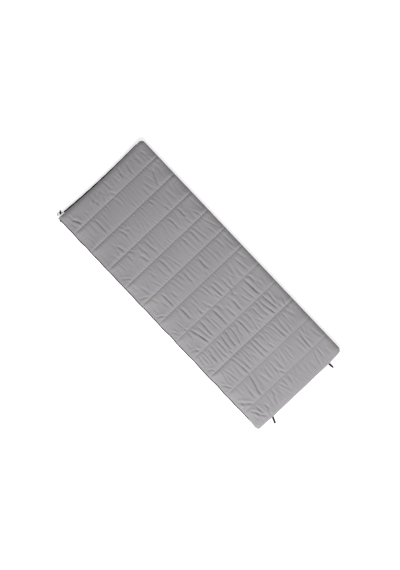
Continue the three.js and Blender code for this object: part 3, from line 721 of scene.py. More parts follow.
def add_folds(height, x, y, half, rng):
    """Creases over a whole half: the main ones as listed, and smaller ones by chance."""
    if half == "upper":
        for x0, y0, x1, y1, depth in MAIN_FOLDS:
            start = (CENTRE_X + x0 * MM, CENTRE_Y + y0 * MM)
            end = (CENTRE_X + x1 * MM, CENTRE_Y + y1 * MM)
            bend = rng.uniform(-0.006, 0.006)
            deep = MAIN_BOOST * min(depth, MAIN_DEEPEST) * MM
            add_fold(height, x, y, start, end, deep, rng.uniform(*MAIN_WIDTH) * MM, bend)
    for row in range(8):
        drop = rng.uniform(0.035, 0.075)
        start = (LEFT + 0.014, ROW_Y[row] + drop)
        end = (LEFT + rng.uniform(0.05, 0.09), ROW_Y[row] + rng.uniform(0.002, 0.012))
        add_fold(height, x, y, start, end, rng.uniform(2.0, 3.4) * MM, 5.5 * MM, 0.004)
    for channel in range(ROWS + 1):
        foot_row = ROW_Y[channel - 1] if channel > 0 else FOOT + 0.02
        mouth_row = ROW_Y[channel] if channel < ROWS else MOUTH - 0.02
        span = mouth_row - foot_row
        if half == "upper" and channel in (2, 3):
            places = NINTH_CHANNEL if channel == 3 else TENTH_CHANNEL
            depth = 2.3 if channel == 3 else 1.5
            for place in places:
                lean = rng.uniform(-0.012, 0.012)
                middle = CENTRE_X + place * MM
                start = (middle + lean, mouth_row - rng.uniform(0.001, 0.02))
                end = (middle - lean, foot_row + rng.uniform(0.001, 0.05))
                width = rng.uniform(*CHANNEL_WIDTH) * MM
                deep = CHANNEL_BOOST * depth * rng.uniform(0.6, 1.3) * MM
                add_fold(height, x, y, start, end, deep, width, rng.uniform(-0.005, 0.005), 0.15)
        place = LEFT + rng.uniform(0.03, 0.06)
        while place < RIGHT - 0.03:
            top = mouth_row - span * max(0.0, rng.normal(0.0, 0.25))
            bottom = top - span * rng.uniform(0.35, 1.0)
            if rng.random() < 0.5:
                top, bottom = foot_row + mouth_row - bottom, foot_row + mouth_row - top
            top, bottom = min(top, mouth_row), max(bottom, foot_row)
            lean = rng.normal(0.0, 0.009)
            depth = FOLD_DEPTH[channel] * rng.uniform(0.4, 1.5) * MM
            if top - bottom > SHORTEST_FOLD:
                add_fold(height, x, y, (place - lean, top), (place + lean, bottom), depth,
                         rng.uniform(*SMALL_WIDTH) * MM, rng.uniform(-0.007, 0.007), 0.35)
            place += rng.uniform(*SMALL_PITCH)


def add_puckers(height, x, y, strength, rng):
    """Small tucks running out of each row of stitching, to both sides."""
    for row in range(ROWS):
        for side in (-1.0, 1.0):
            place = LEFT + rng.uniform(0.012, 0.03)
            while place < RIGHT - 0.012:
                reach = rng.uniform(*PUCKER_REACH) * (1.6 if rng.random() < 0.2 else 1.0)
                depth = strength * ROW_PUCKER[row] * rng.uniform(0.5, 1.5) * MM
                lean = rng.normal(0.0, 0.2) * reach
                start = (place, ROW_Y[row] - side * 0.003)
                end = (place + lean, ROW_Y[row] + side * reach)
                width = rng.uniform(*PUCKER_WIDTH) * MM
                add_fold(height, x, y, start, end, depth, width, rng.uniform(-0.002, 0.002), 0.45)
                place += rng.uniform(*PUCKER_PITCH)


def add_edge_tucks(height, x, y, strength, rng):
    """Tucks that run in from the hems, square to each edge."""
    sides = (
        ((LEFT + 0.012, FOOT), (0.0, 1.0), (1.0, 0.0), LENGTH),
        ((RIGHT - 0.002, FOOT), (0.0, 1.0), (-1.0, 0.0), LENGTH),
        ((LEFT, FOOT + 0.012), (1.0, 0.0), (0.0, 1.0), WIDTH),
        ((LEFT, MOUTH - 0.012), (1.0, 0.0), (0.0, -1.0), WIDTH),
    )
    for corner, along, inward, length in sides:
        corner, along, inward = np.array(corner), np.array(along), np.array(inward)
        at = rng.uniform(0.02, 0.05)
        while at < length - 0.02:
            start = corner + along * at
            end = start + inward * rng.uniform(*TUCK_REACH) + along * rng.normal(0.0, 0.006)
            depth = strength * rng.uniform(0.3, 1.2) * MM
            add_fold(height, x, y, start, end, depth, rng.uniform(*TUCK_WIDTH) * MM, 0.0, 0.35)
            at += rng.uniform(*TUCK_PITCH)


FINE_ACROSS, FINE_NEAR, FINE_FAR = 0.0037, 0.0040, 0.0062
SHELL_PUCKERS, SHELL_TUCKS, LINING_PUCKERS, LINING_CREASES = 1.25, 1.1, 1.0, 0.8
CREPE = 0.0007  # height of the shallow ripples all over the shell
LEAST_LOFT = 0.0016  # from the lining to the shell, where a fold is deepest
HIGHEST = {"upper": LOFT + 0.003, "lower": LOFT - 0.0006}
SOFT_TOP = 0.004  # below that height, where the shell starts to level off
BATTING_INSET = 0.02
LINING_STEP = 0.0075
LINING_DENT = 0.0022  # the deepest dent of the lining, which the batting stays clear of
surfaces = {}


def fold_room(x, y):
    """1 over the body of the quilt, 0 at the very edge, so that creases never cut its outline."""
    outline = np.minimum(np.minimum(x - LEFT, RIGHT - x), np.minimum(y - FOOT, MOUTH - y))
    return smoothstep(outline, 0.0, 0.014)


def shell_piece(half):
    """One half's shell: domed channels, simulated slack, creases and puckers."""
    columns, rows = stations(LEFT, RIGHT, FINE_ACROSS), row_stations(FINE_NEAR, FINE_FAR)
    x, y = np.meshgrid(columns, rows)
    level = shell_level(x, y, half)
    sim_rows, sim_columns, moved = slack_cloth(half)
    moved = soften(resample(moved, sim_rows, sim_columns, rows, columns), 2)
    rng = np.random.default_rng({"upper": 41, "lower": 67}[half])
    creases = np.zeros_like(x)
    add_folds(creases, x, y, half, rng)
    add_puckers(creases, x, y, SHELL_PUCKERS, rng)
    add_edge_tucks(creases, x, y, SHELL_TUCKS, rng)
    creases += CREPE * wavy(x * 1.3 + y * 0.4, 71, 0.05, 5) * wavy(y * 1.2 - x * 0.3, 73, 0.06, 5)
    room = fold_room(x, y)
    height = level + moved[..., 2] + creases * room
    height = np.maximum(height, lining_level(x, y, half) + LEAST_LOFT)
    level_off = HIGHEST[half] - SOFT_TOP
    over = np.maximum(height - level_off, 0.0)
    height = np.minimum(height, level_off) + SOFT_TOP * (1.0 - np.exp(-over / SOFT_TOP))
    new_x, new_y = plan(x, y, half)
    new_x, new_y = new_x + moved[..., 0] * room, new_y + moved[..., 1] * room
    outer = np.stack([new_x, new_y, MID + SIDE[half] * height], -1)
    inner = outer.copy()
    inner[..., 2] -= SIDE[half] * CLOTH
    pair = (inner, outer) if half == "upper" else (outer, inner)
    piece = closed_sheet(f"{half}_shell", *pair, SHELL_CLOTH)
    surfaces[half] = (rows, columns, outer)
    return piece


def lining_piece(half):
    """One half's lining: level at the hems, drawn in at the rows, with dents towards the batting."""
    columns, rows = stations(LEFT + 0.0015, RIGHT - 0.0012, LINING_STEP), row_stations(LINING_STEP)
    x, y = np.meshgrid(columns, rows)
    rng = np.random.default_rng({"upper": 83, "lower": 97}[half])
    creases = np.zeros_like(x)
    add_folds(creases, x, y, "lining", rng)
    add_puckers(creases, x, y, LINING_PUCKERS, rng)
    dents = LINING_DENT * (1.0 - np.exp(-np.abs(creases) * LINING_CREASES / LINING_DENT))
    height = lining_level(x, y, half) + dents * fold_room(x, y)
    new_x, new_y = plan(x, y, half)
    outer = np.stack([new_x, new_y, MID + SIDE[half] * height], -1)
    inner = outer.copy()
    inner[..., 2] += SIDE[half] * CLOTH
    pair = (outer, inner) if half == "upper" else (inner, outer)
    piece = closed_sheet(f"{half}_lining_cloth", *pair, LINING_CLOTH)
    surfaces[f"{half}_lining"] = (rows, columns, outer)
    return piece


def batting_piece(half):
    """The quilted batting between the two cloths."""
    columns = np.linspace(LEFT + BATTING_INSET, RIGHT - BATTING_INSET, 72)
    rows = row_stations(0.012, 0.02)[8:-8]
    x, y = np.meshgrid(columns, rows)
    low = lining_level(x, y, half) + LINING_DENT + 0.0012
    full = shell_level(x, y, half) - lining_level(x, y, half)
    high = low + np.maximum(0.0004, full * 0.6 - 0.0070)
    new_x, new_y = plan(x, y, half)
    inner = np.stack([new_x, new_y, MID + SIDE[half] * low], -1)
    outer = np.stack([new_x, new_y, MID + SIDE[half] * high], -1)
    pair = (inner, outer) if half == "upper" else (outer, inner)
    return closed_sheet(f"{half}_quilted_batting", *pair, BATTING)


for half in ("upper", "lower"):
    for piece, node, slot, fill in (
        (shell_piece(half), f"{half}_outer_shell", "shell_cloth", 0.7),
        (lining_piece(half), f"{half}_lining", "lining_cloth", 0.5),
        (batting_piece(half), f"{half}_batting", "batting", 0.6),
    ):
        hand_over(piece, slot, f"{half}_half", node)

# ---------------------------------------------------------------- stitching
STITCH_LENGTH, STITCH_PITCH, STITCH_RADIUS, STITCH_LIFT = 0.0036, 0.005, 0.00032, 0.00012
HEM_IN, MOUTH_IN = 0.017, 0.014  # the topstitches' distance from the edges


def on_surface(surface, x, y):
    """Points of a sewn surface at flat places x, y."""
    rows, columns, points = surface
    at = np.interp(y, rows, np.arange(len(rows)))
    row = np.minimum(at.astype(int), len(rows) - 2)
    up = (at - row)[:, None]
    at = np.interp(x, columns, np.arange(len(columns)))
    column = np.minimum(at.astype(int), len(columns) - 2)
    across = (at - column)[:, None]
    low = points[row, column] * (1 - across) + points[row, column + 1] * across
    high = points[row + 1, column] * (1 - across) + points[row + 1, column + 1] * across
    return low * (1 - up) + high * up


def frames_along(points, directions, up=(0.0, 0.0, 1.0)):
    """A 3x4 matrix for each point: its X along the direction, its Z near up."""
    directions = directions / np.linalg.norm(directions, axis=1)[:, None]
    side = np.cross(np.asarray(up, float), directions)
    side /= np.maximum(np.linalg.norm(side, axis=1)[:, None], 1e-9)
    normal = np.cross(directions, side)
    return np.stack([directions, side, normal, points], -1)


def stitches_along(points, lift=0.0):
    """Places of the stitches of a line sewn through points that lie close together."""
    length = np.concatenate([[0.0], np.cumsum(np.linalg.norm(np.diff(points, axis=0), axis=1))])
    starts = np.arange(0.002, length[-1] - STITCH_LENGTH, STITCH_PITCH)

    def at(distance):
        return np.stack([np.interp(distance, length, points[:, k]) for k in range(3)], -1)

    first, last = at(starts), at(starts + STITCH_LENGTH)
    middle = (first + last) / 2
    middle[:, 2] += lift
    return frames_along(middle, last - first)


def stitch_line(surface, x, y, outward):
    """The same for a line on a sewn surface, given densely in the flat."""
    return stitches_along(on_surface(surface, x, y), outward * STITCH_LIFT)


stitch_points, stitch_faces = capsule(STITCH_LENGTH, STITCH_RADIUS, 6, 3, 0.8)


def sew(name, lines, material, slot, body, *nodes):
    piece = scatter(name, stitch_points, stitch_faces, np.concatenate(lines), material)
    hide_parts(*nodes)
    hand_over(piece, slot, body)


across_x = np.linspace(LEFT + 0.014, RIGHT - 0.008, 400)
for half in ("upper", "lower"):
    for row in range(ROWS):
        y = np.full_like(across_x, ROW_Y[row])
        outside = stitch_line(surfaces[half], across_x, y, SIDE[half])
        inside = stitch_line(surfaces[f"{half}_lining"], across_x, y, -SIDE[half])
        sew(f"{half}_row_{row + 1:02d}_outside", [outside], SHELL_THREAD, "shell_thread",
            f"{half}_half", f"{half}_{ROW_NODES[row]}")
        sew(f"{half}_row_{row + 1:02d}_inside", [inside], BLACK_THREAD, "black_thread", f"{half}_half")
    down_y = np.linspace(MOUTH - 0.02, FOOT + HEM_IN, 900)
    down = stitch_line(surfaces[half], np.full_like(down_y, LEFT + HEM_IN), down_y, SIDE[half])
    along_x = np.linspace(LEFT + HEM_IN, RIGHT - 0.012, 400)
    along = stitch_line(surfaces[half], along_x, np.full_like(along_x, FOOT + HEM_IN), SIDE[half])
    top_x = np.linspace(LEFT + HEM_IN, RIGHT - 0.02, 400)
    mouth = stitch_line(surfaces[half], top_x, np.full_like(top_x, MOUTH - MOUTH_IN), SIDE[half])
    sew(f"{half}_hem_topstitch", [down, along, mouth], SHELL_THREAD, "shell_thread", f"{half}_half")

# ---------------------------------------------------------------- side seam
STRIP_REACH = 0.0034  # how far the fold reaches over each half
STRIP_END = 0.019  # from the corners
STRIP_COLUMNS = 13
CREST = STRIP_COLUMNS // 2
strip_y = np.linspace(FOOT + STRIP_END, MOUTH - STRIP_END, 430)
seam_edge_x, seam_edge_y = plan(np.full_like(strip_y, RIGHT), strip_y, "upper")
seam_angle = np.linspace(-1.0, 1.0, STRIP_COLUMNS)
bulge = 0.00015 + 0.0006 * np.cos(seam_angle * math.pi / 2)
gather = 1.0 + 0.35 * wavy(strip_y, 31, 0.02, 5)
strip_outer = np.stack([
    seam_edge_x[:, None] + bulge[None, :] * gather[:, None],
    np.broadcast_to(seam_edge_y[:, None], (len(strip_y), STRIP_COLUMNS)),
    np.broadcast_to(MID + seam_angle * STRIP_REACH, (len(strip_y), STRIP_COLUMNS)),
], -1)
strip_inner = strip_outer - np.array([0.0004, 0.0, 0.0])
seam_strip = closed_sheet("side_seam_fold", strip_outer, strip_inner, SHELL_CLOTH)
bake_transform(seam_strip)

for end, y in (("foot", strip_y[0] + 0.002), ("mouth", strip_y[-1] - 0.002)):
    tack = np.array([[np.interp(y, strip_y, strip_outer[:, CREST, 0]) - 0.0001, y + k * 0.0006, MID]
                     for k in range(-3, 4)])
    lean = np.tile([0.0, 0.08, 1.0], (7, 1))
    lean[::2, 1] = -0.08
    points, faces = capsule(2.1 * STRIP_REACH, 0.0004, 6, 6, 1.0)
    places = frames_along(tack, lean, (1.0, 0.0, 0.0))
    tack = scatter(f"side_seam_bartack_{end}", points, faces, places, SHELL_THREAD)
    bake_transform(tack)

seam_y = np.arange(SEAM_LOW.y, SEAM_HIGH.y, STITCH_PITCH)
seam_x = np.interp(seam_y, strip_y, strip_outer[:, CREST, 0]) + 0.0001
seam_places = frames_along(np.stack([seam_x, seam_y, np.full_like(seam_y, MID)], -1),
                           np.tile([0.0, 1.0, 0.0], (len(seam_y), 1)))
seam_stitches = scatter("side_seam_stitches", stitch_points, stitch_faces, seam_places, SHELL_THREAD)
hand_over(seam_stitches, "shell_thread", "lower_half", "side_seam_thread")

# ---------------------------------------------------------------- zip
ZIP_Y = centre("zip_bottom_stop").y
ZIP_BEND = 0.017
TAPE_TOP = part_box("zip_tape_lower")[1].y
TAPE_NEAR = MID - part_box("zip_tape_lower")[1].z
COIL_MIDDLE = MID - (COIL_LOW.z + COIL_HIGH.z) / 2
TAPE_THICKNESS, TAPE_STEP = 0.0007, 0.003
TOOTH_PITCH = 0.002
TAPE_PAST = 0.014  # how far the tape runs on past the bottom stop


def zip_line(top, step, past=0.0):
    """Points down the zip side, round the foot corner and along the foot, with outward normals."""
    down = top - (ZIP_Y + ZIP_BEND)
    quarter = ZIP_BEND * math.pi / 2
    total = down + quarter + ZIP_END_X + past - (ZIP_X + ZIP_BEND)
    s = np.arange(0.0, total, step)
    turn = np.clip((s - down) / quarter, 0.0, 1.0) * math.pi / 2
    x = ZIP_X + ZIP_BEND - ZIP_BEND * np.cos(turn) + np.maximum(s - down - quarter, 0.0)
    y = np.where(s < down, top - s, ZIP_Y + ZIP_BEND - ZIP_BEND * np.sin(turn))
    x = x + np.where(s < down, zip_wave(y), 0.0)
    return np.stack([x, y], -1), np.stack([-np.cos(turn), -np.sin(turn)], -1)


def hem_edge(half):
    """The outline of one half in plan, from the mouth down the zip side and along the foot."""
    down = np.linspace(MOUTH, FOOT, 1600)
    flat_x = np.concatenate([np.full_like(down, LEFT), np.linspace(LEFT, RIGHT, 700)])
    flat_y = np.concatenate([down, np.full(700, FOOT)])
    return np.stack(plan(flat_x, flat_y, half), -1)


def zip_tape(half):
    """The tape stands from the coil up to the hem, and follows the hem's own waves."""
    points, outward = zip_line(TAPE_TOP, TAPE_STEP, TAPE_PAST)
    edge = hem_edge(half)
    far = ((points[:, None, :] - edge[None, :, :]) ** 2).sum(-1)
    nearest = edge[far.argmin(1)]
    depth = ((nearest - points) * outward).sum(-1) - 0.0016
    hem_height = HALF_GAP + HEM_RISE - 0.0002
    columns = np.linspace(0.0, 1.0, 9)
    share = smoothstep(columns, 0.0, 1.0)[None, :, None]
    ripple = 0.0006 * wavy(np.arange(len(points)) * TAPE_STEP, {"upper": 3, "lower": 4}[half], 0.03, 5)
    across = depth[:, None, None] * share + (ripple[:, None] * np.sin(math.pi * columns))[..., None]
    place = points[:, None, :] + outward[:, None, :] * across
    height = TAPE_NEAR + (hem_height - TAPE_NEAR) * columns
    height = np.broadcast_to(MID + SIDE[half] * height, place.shape[:2])[..., None]
    front = np.concatenate([place, height], -1)
    inward = np.concatenate([outward, np.zeros((len(points), 1))], -1)[:, None, :]
    back = front - inward * TAPE_THICKNESS
    pair = (back, front) if half == "upper" else (front, back)
    piece = closed_sheet(f"{half}_zip_tape", *pair, ZIP_TAPE)
    hand_over(piece, "black_tape", f"{half}_half", f"zip_tape_{half}")
    thread = front[:, 2] + inward[:, 0] * 0.0002
    stitches = scatter(f"{half}_zip_tape_stitches", stitch_points, stitch_faces,
                       stitches_along(thread), BLACK_THREAD)
    hand_over(stitches, "black_thread", f"{half}_half")


def zip_coil(half):
    """Teeth of a coil, side by side round the zip's line, each a turn of thick monofilament."""
    points, outward = zip_line(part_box(f"zip_coil_{half}")[1].y, TOOTH_PITCH / 8)
    offset = 0 if half == "upper" else 4
    points, outward = points[offset::8], outward[offset::8]
    points, outward = points[1:-1], outward[1:-1]
    height = MID + SIDE[half] * COIL_MIDDLE
    position = np.column_stack([points, np.full(len(points), height)])
    side = np.column_stack([outward, np.zeros(len(points))])
    upward = np.tile([0.0, 0.0, 1.0], (len(points), 1))
    tangent = np.cross(side, upward)
    places = np.stack([upward, tangent, side, position], -1)
    tooth_points, tooth_faces = capsule(0.0023, 0.00072, 8, 4, 1.75)
    piece = scatter(f"{half}_zip_coil", tooth_points, tooth_faces, places, ZIP_COIL)
    hand_over(piece, "zip_coil", f"{half}_half", f"zip_coil_{half}")
    inner = position - side * 0.0003
    core = add_tube(f"{half}_zip_core_cord", inner, 0.0007, 8, BLACK_THREAD)
    hand_over(core, "black_thread", f"{half}_half")


for half in ("upper", "lower"):
    zip_tape(half)
    zip_coil(half)


def rounded_plate(outline, thickness, bevel, rings=4):
    """A plate in its own X and Y with rounded rims, as points and faces."""
    outline = np.asarray(outline, float)
    before, after = np.roll(outline, 1, 0), np.roll(outline, -1, 0)
    along = after - before
    inward = np.stack([-along[:, 1], along[:, 0]], -1)
    inward /= np.linalg.norm(inward, axis=1)[:, None]
    levels = []
    for k in range(rings + 1):
        angle = math.pi / 2 * k / rings
        levels.append((bevel * (1 - math.sin(angle)), -thickness / 2 + bevel * (1 - math.cos(angle))))
    levels += [(inset, -z) for inset, z in reversed(levels)]
    count = len(outline)
    points = np.concatenate([
        np.column_stack([outline + inward * inset, np.full(count, z)]) for inset, z in levels])
    faces = ring_faces(len(levels), count)
    faces.append(tuple(reversed(range(count))))
    top = (len(levels) - 1) * count
    faces.append(tuple(range(top, top + count)))
    return points, faces


class Solids:
    """Collects closed shapes into one piece."""

    def __init__(self):
        self.points, self.faces, self.count = [], [], 0

    def add(self, points, faces, turn=np.eye(3), move=(0.0, 0.0, 0.0)):
        points = np.asarray(points) @ np.asarray(turn).T + np.asarray(move)
        self.points.append(points)
        self.faces += [tuple(int(v) + self.count for v in face) for face in faces]
        self.count += len(points)

    def piece(self, name, material, angle=40.0):
        piece = add_mesh(name, np.concatenate(self.points), self.faces, material)
        piece.data.set_sharp_from_angle(angle=math.radians(angle))
        return piece


def arc_points(cx, cy, radius, start, end, count):
    angle = np.radians(np.linspace(start, end, count))
    return [(cx + radius * math.cos(a), cy + radius * math.sin(a)) for a in angle]


def rounded_rectangle(half_x, half_y, radius, count=6):
    points = []
    for sx, sy, start in ((1, 1, 0), (-1, 1, 90), (-1, -1, 180), (1, -1, 270)):
        corner = (sx * (half_x - radius), sy * (half_y - radius))
        points += arc_points(*corner, radius, start, start + 90, count)
    return points


# local axes of the slider's plates: X runs across the zip (row Z), Y along it, Z out of the quilt
PLATE_TURN = np.array([[0, 0, -1], [0, 1, 0], [1, 0, 0]], float)


def slider_body():
    low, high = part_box("zip_slider_body")
    half_x, half_y = (high.z - low.z) / 2, (high.y - low.y) / 2
    shoulder, tail = half_x, half_x * 0.78
    outline = arc_points(tail - 0.0012, -half_y + 0.0012, 0.0012, -90, 0, 5)
    outline += [(tail + 0.0002, -0.001), (tail + 0.0008, 0.0015)]
    outline += arc_points(shoulder - 0.0022, half_y - 0.0022, 0.0022, -10, 80, 7)
    outline += [(0.0016, half_y - 0.0007), (0.0, half_y - 0.0012), (-0.0016, half_y - 0.0007)]
    outline += arc_points(-shoulder + 0.0022, half_y - 0.0022, 0.0022, 100, 190, 7)
    outline += [(-tail - 0.0008, 0.0015), (-tail - 0.0002, -0.001)]
    outline += arc_points(-tail + 0.0012, -half_y + 0.0012, 0.0012, 180, 270, 5)
    body = Solids()
    plate, channel = 0.0015, 0.0018
    points, faces = rounded_plate(outline, plate, 0.0005)
    for side in (-1.0, 1.0):
        offset = side * (channel + plate / 2)
        body.add(points, faces, PLATE_TURN, (ZIP_X + offset, SLIDER.y, MID))
    lip_points, lip_faces = rounded_plate(rounded_rectangle(0.0005, half_y * 0.82, 0.0004), 0.0017, 0.0003)
    for side in (-1.0, 1.0):
        for across in (-1.0, 1.0):
            place = (ZIP_X + side * 0.00145, SLIDER.y - 0.0008, MID + across * (tail - 0.0006))
            body.add(lip_points, lip_faces, PLATE_TURN, place)
    post_points, post_faces = rounded_plate(rounded_rectangle(0.0008, 0.0018, 0.0006), 0.0040, 0.0001)
    body.add(post_points, post_faces, PLATE_TURN, (ZIP_X, SLIDER.y + half_y - 0.003, MID + 0.0012))
    arch = []
    reach, rise = 0.0036, ZIP_X - channel - plate - low.x - 0.0006
    for t in np.linspace(0.0, math.pi, 15):
        lift = rise * min(1.0, 1.35 * math.sin(t)) if 0.0 < t < math.pi else -0.0004
        arch.append((ZIP_X - channel - plate + 0.0002 - lift, SLIDER.y - reach * math.cos(t), MID))
    sides, total = 10, 10 * len(arch)
    ring = tube_points(arch, 0.0011, sides, 0.6)
    faces = [(a, d, c, b) for a, b, c, d in ring_faces(len(arch), sides)]
    faces += [tuple(range(sides)), tuple(reversed(range(total - sides, total)))]
    body.add(ring.reshape(-1, 3), faces)
    return body.piece("zip_slider", ZIP_METAL)


def cut(piece, cutter):
    """Cuts one closed mesh out of another, and leaves the result as plain mesh."""
    modifier = piece.modifiers.new("cut", "BOOLEAN")
    modifier.operation, modifier.solver, modifier.object = "DIFFERENCE", "EXACT", cutter
    result = evaluated_mesh(piece)
    piece.modifiers.clear()
    piece.data = result
    bpy.data.objects.remove(cutter, do_unlink=True)
    result.polygons.foreach_set("use_smooth", [True] * len(result.polygons))
    result.set_sharp_from_angle(angle=math.radians(35.0))


def pull_tab():
    """A flat tab with a window for the slider's bridge, a rounded end and a raised grip."""
    low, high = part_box("zip_puller")
    half, top, bottom = (high.z - low.z) / 2, high.y, low.y
    x = (low.x + high.x) / 2
    outline = [(-half + 0.0002, top - 0.0008)]
    outline += [(-half + 0.0005, top - 0.007), (-half + 0.0009, top - 0.011)]
    outline += arc_points(0.0, bottom + half - 0.0001, half - 0.0001, 180, 360, 15)
    outline += [(half - 0.0009, top - 0.011), (half - 0.0005, top - 0.007), (half - 0.0002, top - 0.0008)]
    outline += arc_points(half - 0.0012, top - 0.0009, 0.0009, 30, 90, 4)
    outline += arc_points(-half + 0.0012, top - 0.0009, 0.0009, 90, 150, 4)
    tab = Solids()
    points, faces = rounded_plate(outline, high.x - low.x, 0.0004)
    tab.add(points, faces, PLATE_TURN, (x, 0.0, MID))
    piece = tab.piece("zip_pull_tab", ZIP_METAL)
    hole = Solids()
    points, faces = rounded_plate(rounded_rectangle(0.0019, 0.0023, 0.0006), 0.004, 0.0001)
    hole.add(points, faces, PLATE_TURN, (x, top - 0.0037, MID))
    cut(piece, hole.piece("window", ZIP_METAL))
    grip = Solids()
    points, faces = rounded_plate(rounded_rectangle(0.0021, 0.0004, 0.00035), 0.0019, 0.0003)
    for rib in range(4):
        grip.add(points, faces, PLATE_TURN, (x, bottom + 0.0034 + rib * 0.0019, MID))
    ribs = grip.piece("zip_pull_grip", ZIP_METAL)
    return piece, ribs


STOP_PINCH = 0.18


def stop_piece(name, rides, along_x):
    """A crimped metal stop, pinched in the middle."""
    low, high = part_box(name)
    middle = (low + high) / 2
    size = (high - low) / 2
    metal = Solids()
    points, faces = rounded_plate(rounded_rectangle(size.x, size.y, 0.0006), size.z * 2, 0.0004)
    run = points[:, 0] / size.x if along_x else points[:, 1] / size.y
    other = 1 if along_x else 0
    points[:, other] *= 1.0 - STOP_PINCH * (1.0 - np.abs(run) ** 2)
    metal.add(points, faces, np.eye(3), tuple(middle))
    hand_over(metal.piece(f"{name}_crimp", ZIP_METAL), "zip_metal", rides, name)


hand_over(slider_body(), "zip_metal", "zip_slider", "zip_slider_body")
tab, ribs = pull_tab()
hand_over(tab, "zip_metal", "zip_puller", "zip_puller")
hand_over(ribs, "zip_metal", "zip_puller")
stop_piece("zip_top_stop_upper", "upper_half", False)
stop_piece("zip_top_stop_lower", "lower_half", False)
stop_piece("zip_bottom_stop", "lower_half", True)

# ---------------------------------------------------------------- mouth hem and its drawcord
CORD_RADIUS = 0.0015
CORD_HEIGHT = (HEM_LOW.z + HEM_HIGH.z) / 2
HEM_Y = (HEM_LOW.y + HEM_HIGH.y) / 2
HEM_RADIUS, HEM_TAPER, HEM_FLATTENED = 0.0050, 0.38, 0.45
HEM_CLOTH_THICKNESS = 0.0009
HEM_TUCK = (0.0002, 0.0022)  # how far the tunnel sits back, at its middle and more at its sewn end


def hem_line(x):
    """The hem's middle, behind the slack mouth edge."""
    wobble = 0.0007 * wavy(x, 51, 0.06, 5)
    tuck = HEM_TUCK[0] + HEM_TUCK[1] * smoothstep(x, CENTRE_X, HEM_HIGH.x)
    return HEM_Y - MOUTH_DIP * mouth_dip(x) - tuck + wobble


def hem_tube():
    """A gathered tunnel of thin cloth: open at the zip end, and sewn flat at the seam end."""
    x = np.linspace(HEM_LOW.x, HEM_HIGH.x + 0.02, 420)
    sides = 18
    t = (x - x[0]) / (x[-1] - x[0])
    size = HEM_RADIUS * (1.0 - HEM_TAPER * t) * (1.0 - HEM_FLATTENED * smoothstep(t, 0.9, 1.0))
    gathers = 0.00035 * wavy(x, 61, 0.016, 6) + 0.0003 * wavy(x, 63, 0.035, 5)
    angle = circle(sides)
    pleat = 1.0 + 0.1 * np.sin(2.0 * angle[None, :] + 90.0 * x[:, None])

    def rings(radius):
        reach = (radius[:, None] * pleat)
        y = hem_line(x)[:, None] + reach * np.cos(angle)
        z = CORD_HEIGHT + reach * 0.88 * np.sin(angle)
        return np.stack([np.broadcast_to(x[:, None], y.shape), y, z], -1)

    outside = rings(size + gathers)[::-1]
    inside = rings(np.maximum(size + gathers - HEM_CLOTH_THICKNESS, CORD_RADIUS + 0.0004))
    inside[-1] = outside[0] + np.array([-0.0006, 0.0, 0.0])
    inside = inside[:-1]
    walls = np.concatenate([outside, inside])
    flat_end = outside[0].mean(0)
    far_end = inside[-1].mean(0)
    points = np.concatenate([walls.reshape(-1, 3), [flat_end], [far_end]])
    faces = capped_faces(len(walls), sides)
    tube = Solids()
    tube.add(points, faces)
    piece = tube.piece("mouth_hem_tunnel", HEM_CLOTH, 80.0)
    hand_over(piece, "black_tape", "lower_half", "mouth_hem")
    thread_x = np.arange(HEM_LOW.x + 0.003, HEM_HIGH.x - 0.003, STITCH_PITCH)
    radius = np.interp(thread_x, x, size)
    thread = np.stack([thread_x, hem_line(thread_x) - radius * 0.62,
                       CORD_HEIGHT + radius * 0.74 + 0.0001], -1)
    places = frames_along(thread, np.gradient(thread, axis=0))
    seam = scatter("mouth_hem_stitches", stitch_points, stitch_faces, places, BLACK_THREAD)
    hand_over(seam, "black_thread", "lower_half")


hem_tube()
inner_x = np.linspace(HEM_LOW.x + 0.0015, HEM_HIGH.x - 0.008, 300)
inner_path = np.stack([inner_x, hem_line(inner_x), np.full_like(inner_x, CORD_HEIGHT)], -1)
inner_cord = add_tube("drawcord_inside_hem", inner_path, CORD_RADIUS, 12, CORD_BRAID)
hand_over(inner_cord, "black_cord", "lower_half", "drawcord_in_hem")

# The free end's route, in millimetres from where the cord leaves the hem: along the mouth, out
# from it, and up. The lock sits on its straight stretch.
TAIL_ROUTE = [
    (0, 0, 0), (-3, 0, 0), (-5.6, 0.5, 0), (-8.2, 1.9, 0), (-14.7, 7, 0), (-22, 12.7, 0),
    (-29.3, 18.4, 0), (-33.2, 21.5, -0.1), (-36, 22.9, -0.6), (-39, 22.8, -1.4),
    (-41.4, 20.9, -2.3), (-42.8, 18.2, -3), (-44, 15.4, -3.4),
]
TAIL_STRAIGHT = (4, 6)
TAIL_EXIT = np.array([HEM_LOW.x, HEM_Y, CORD_HEIGHT])


def smooth_route(points, steps=8):
    """A Catmull-Rom curve through the points."""
    points = np.asarray(points, float)
    padded = np.concatenate([[2 * points[0] - points[1]], points, [2 * points[-1] - points[-2]]])
    result = []
    for k in range(len(points) - 1):
        a, b, c, d = padded[k:k + 4]
        for t in np.linspace(0.0, 1.0, steps, endpoint=False):
            result.append(0.5 * (2 * b + (c - a) * t + (2 * a - 5 * b + 4 * c - d) * t * t
                                 + (3 * b - a - 3 * c + d) * t ** 3))
    result.append(points[-1])
    return np.array(result)


def tail_cord():
    route = smooth_route(TAIL_EXIT + np.array(TAIL_ROUTE) * MM)
    length = float(np.linalg.norm(np.diff(route, axis=0), axis=1).sum())
    data = bpy.data.curves.new("drawcord_free_end", "CURVE")
    data.dimensions = "3D"
    data.bevel_depth = CORD_RADIUS
    data.bevel_resolution = 5
    data.use_fill_caps = True
    spline = data.splines.new("POLY")
    spline.points.add(len(route) - 1)
    for point, place in zip(spline.points, route.tolist()):
        point.co = (*place, 1.0)
    return add_object("drawcord_free_end", data, CORD_BRAID), length


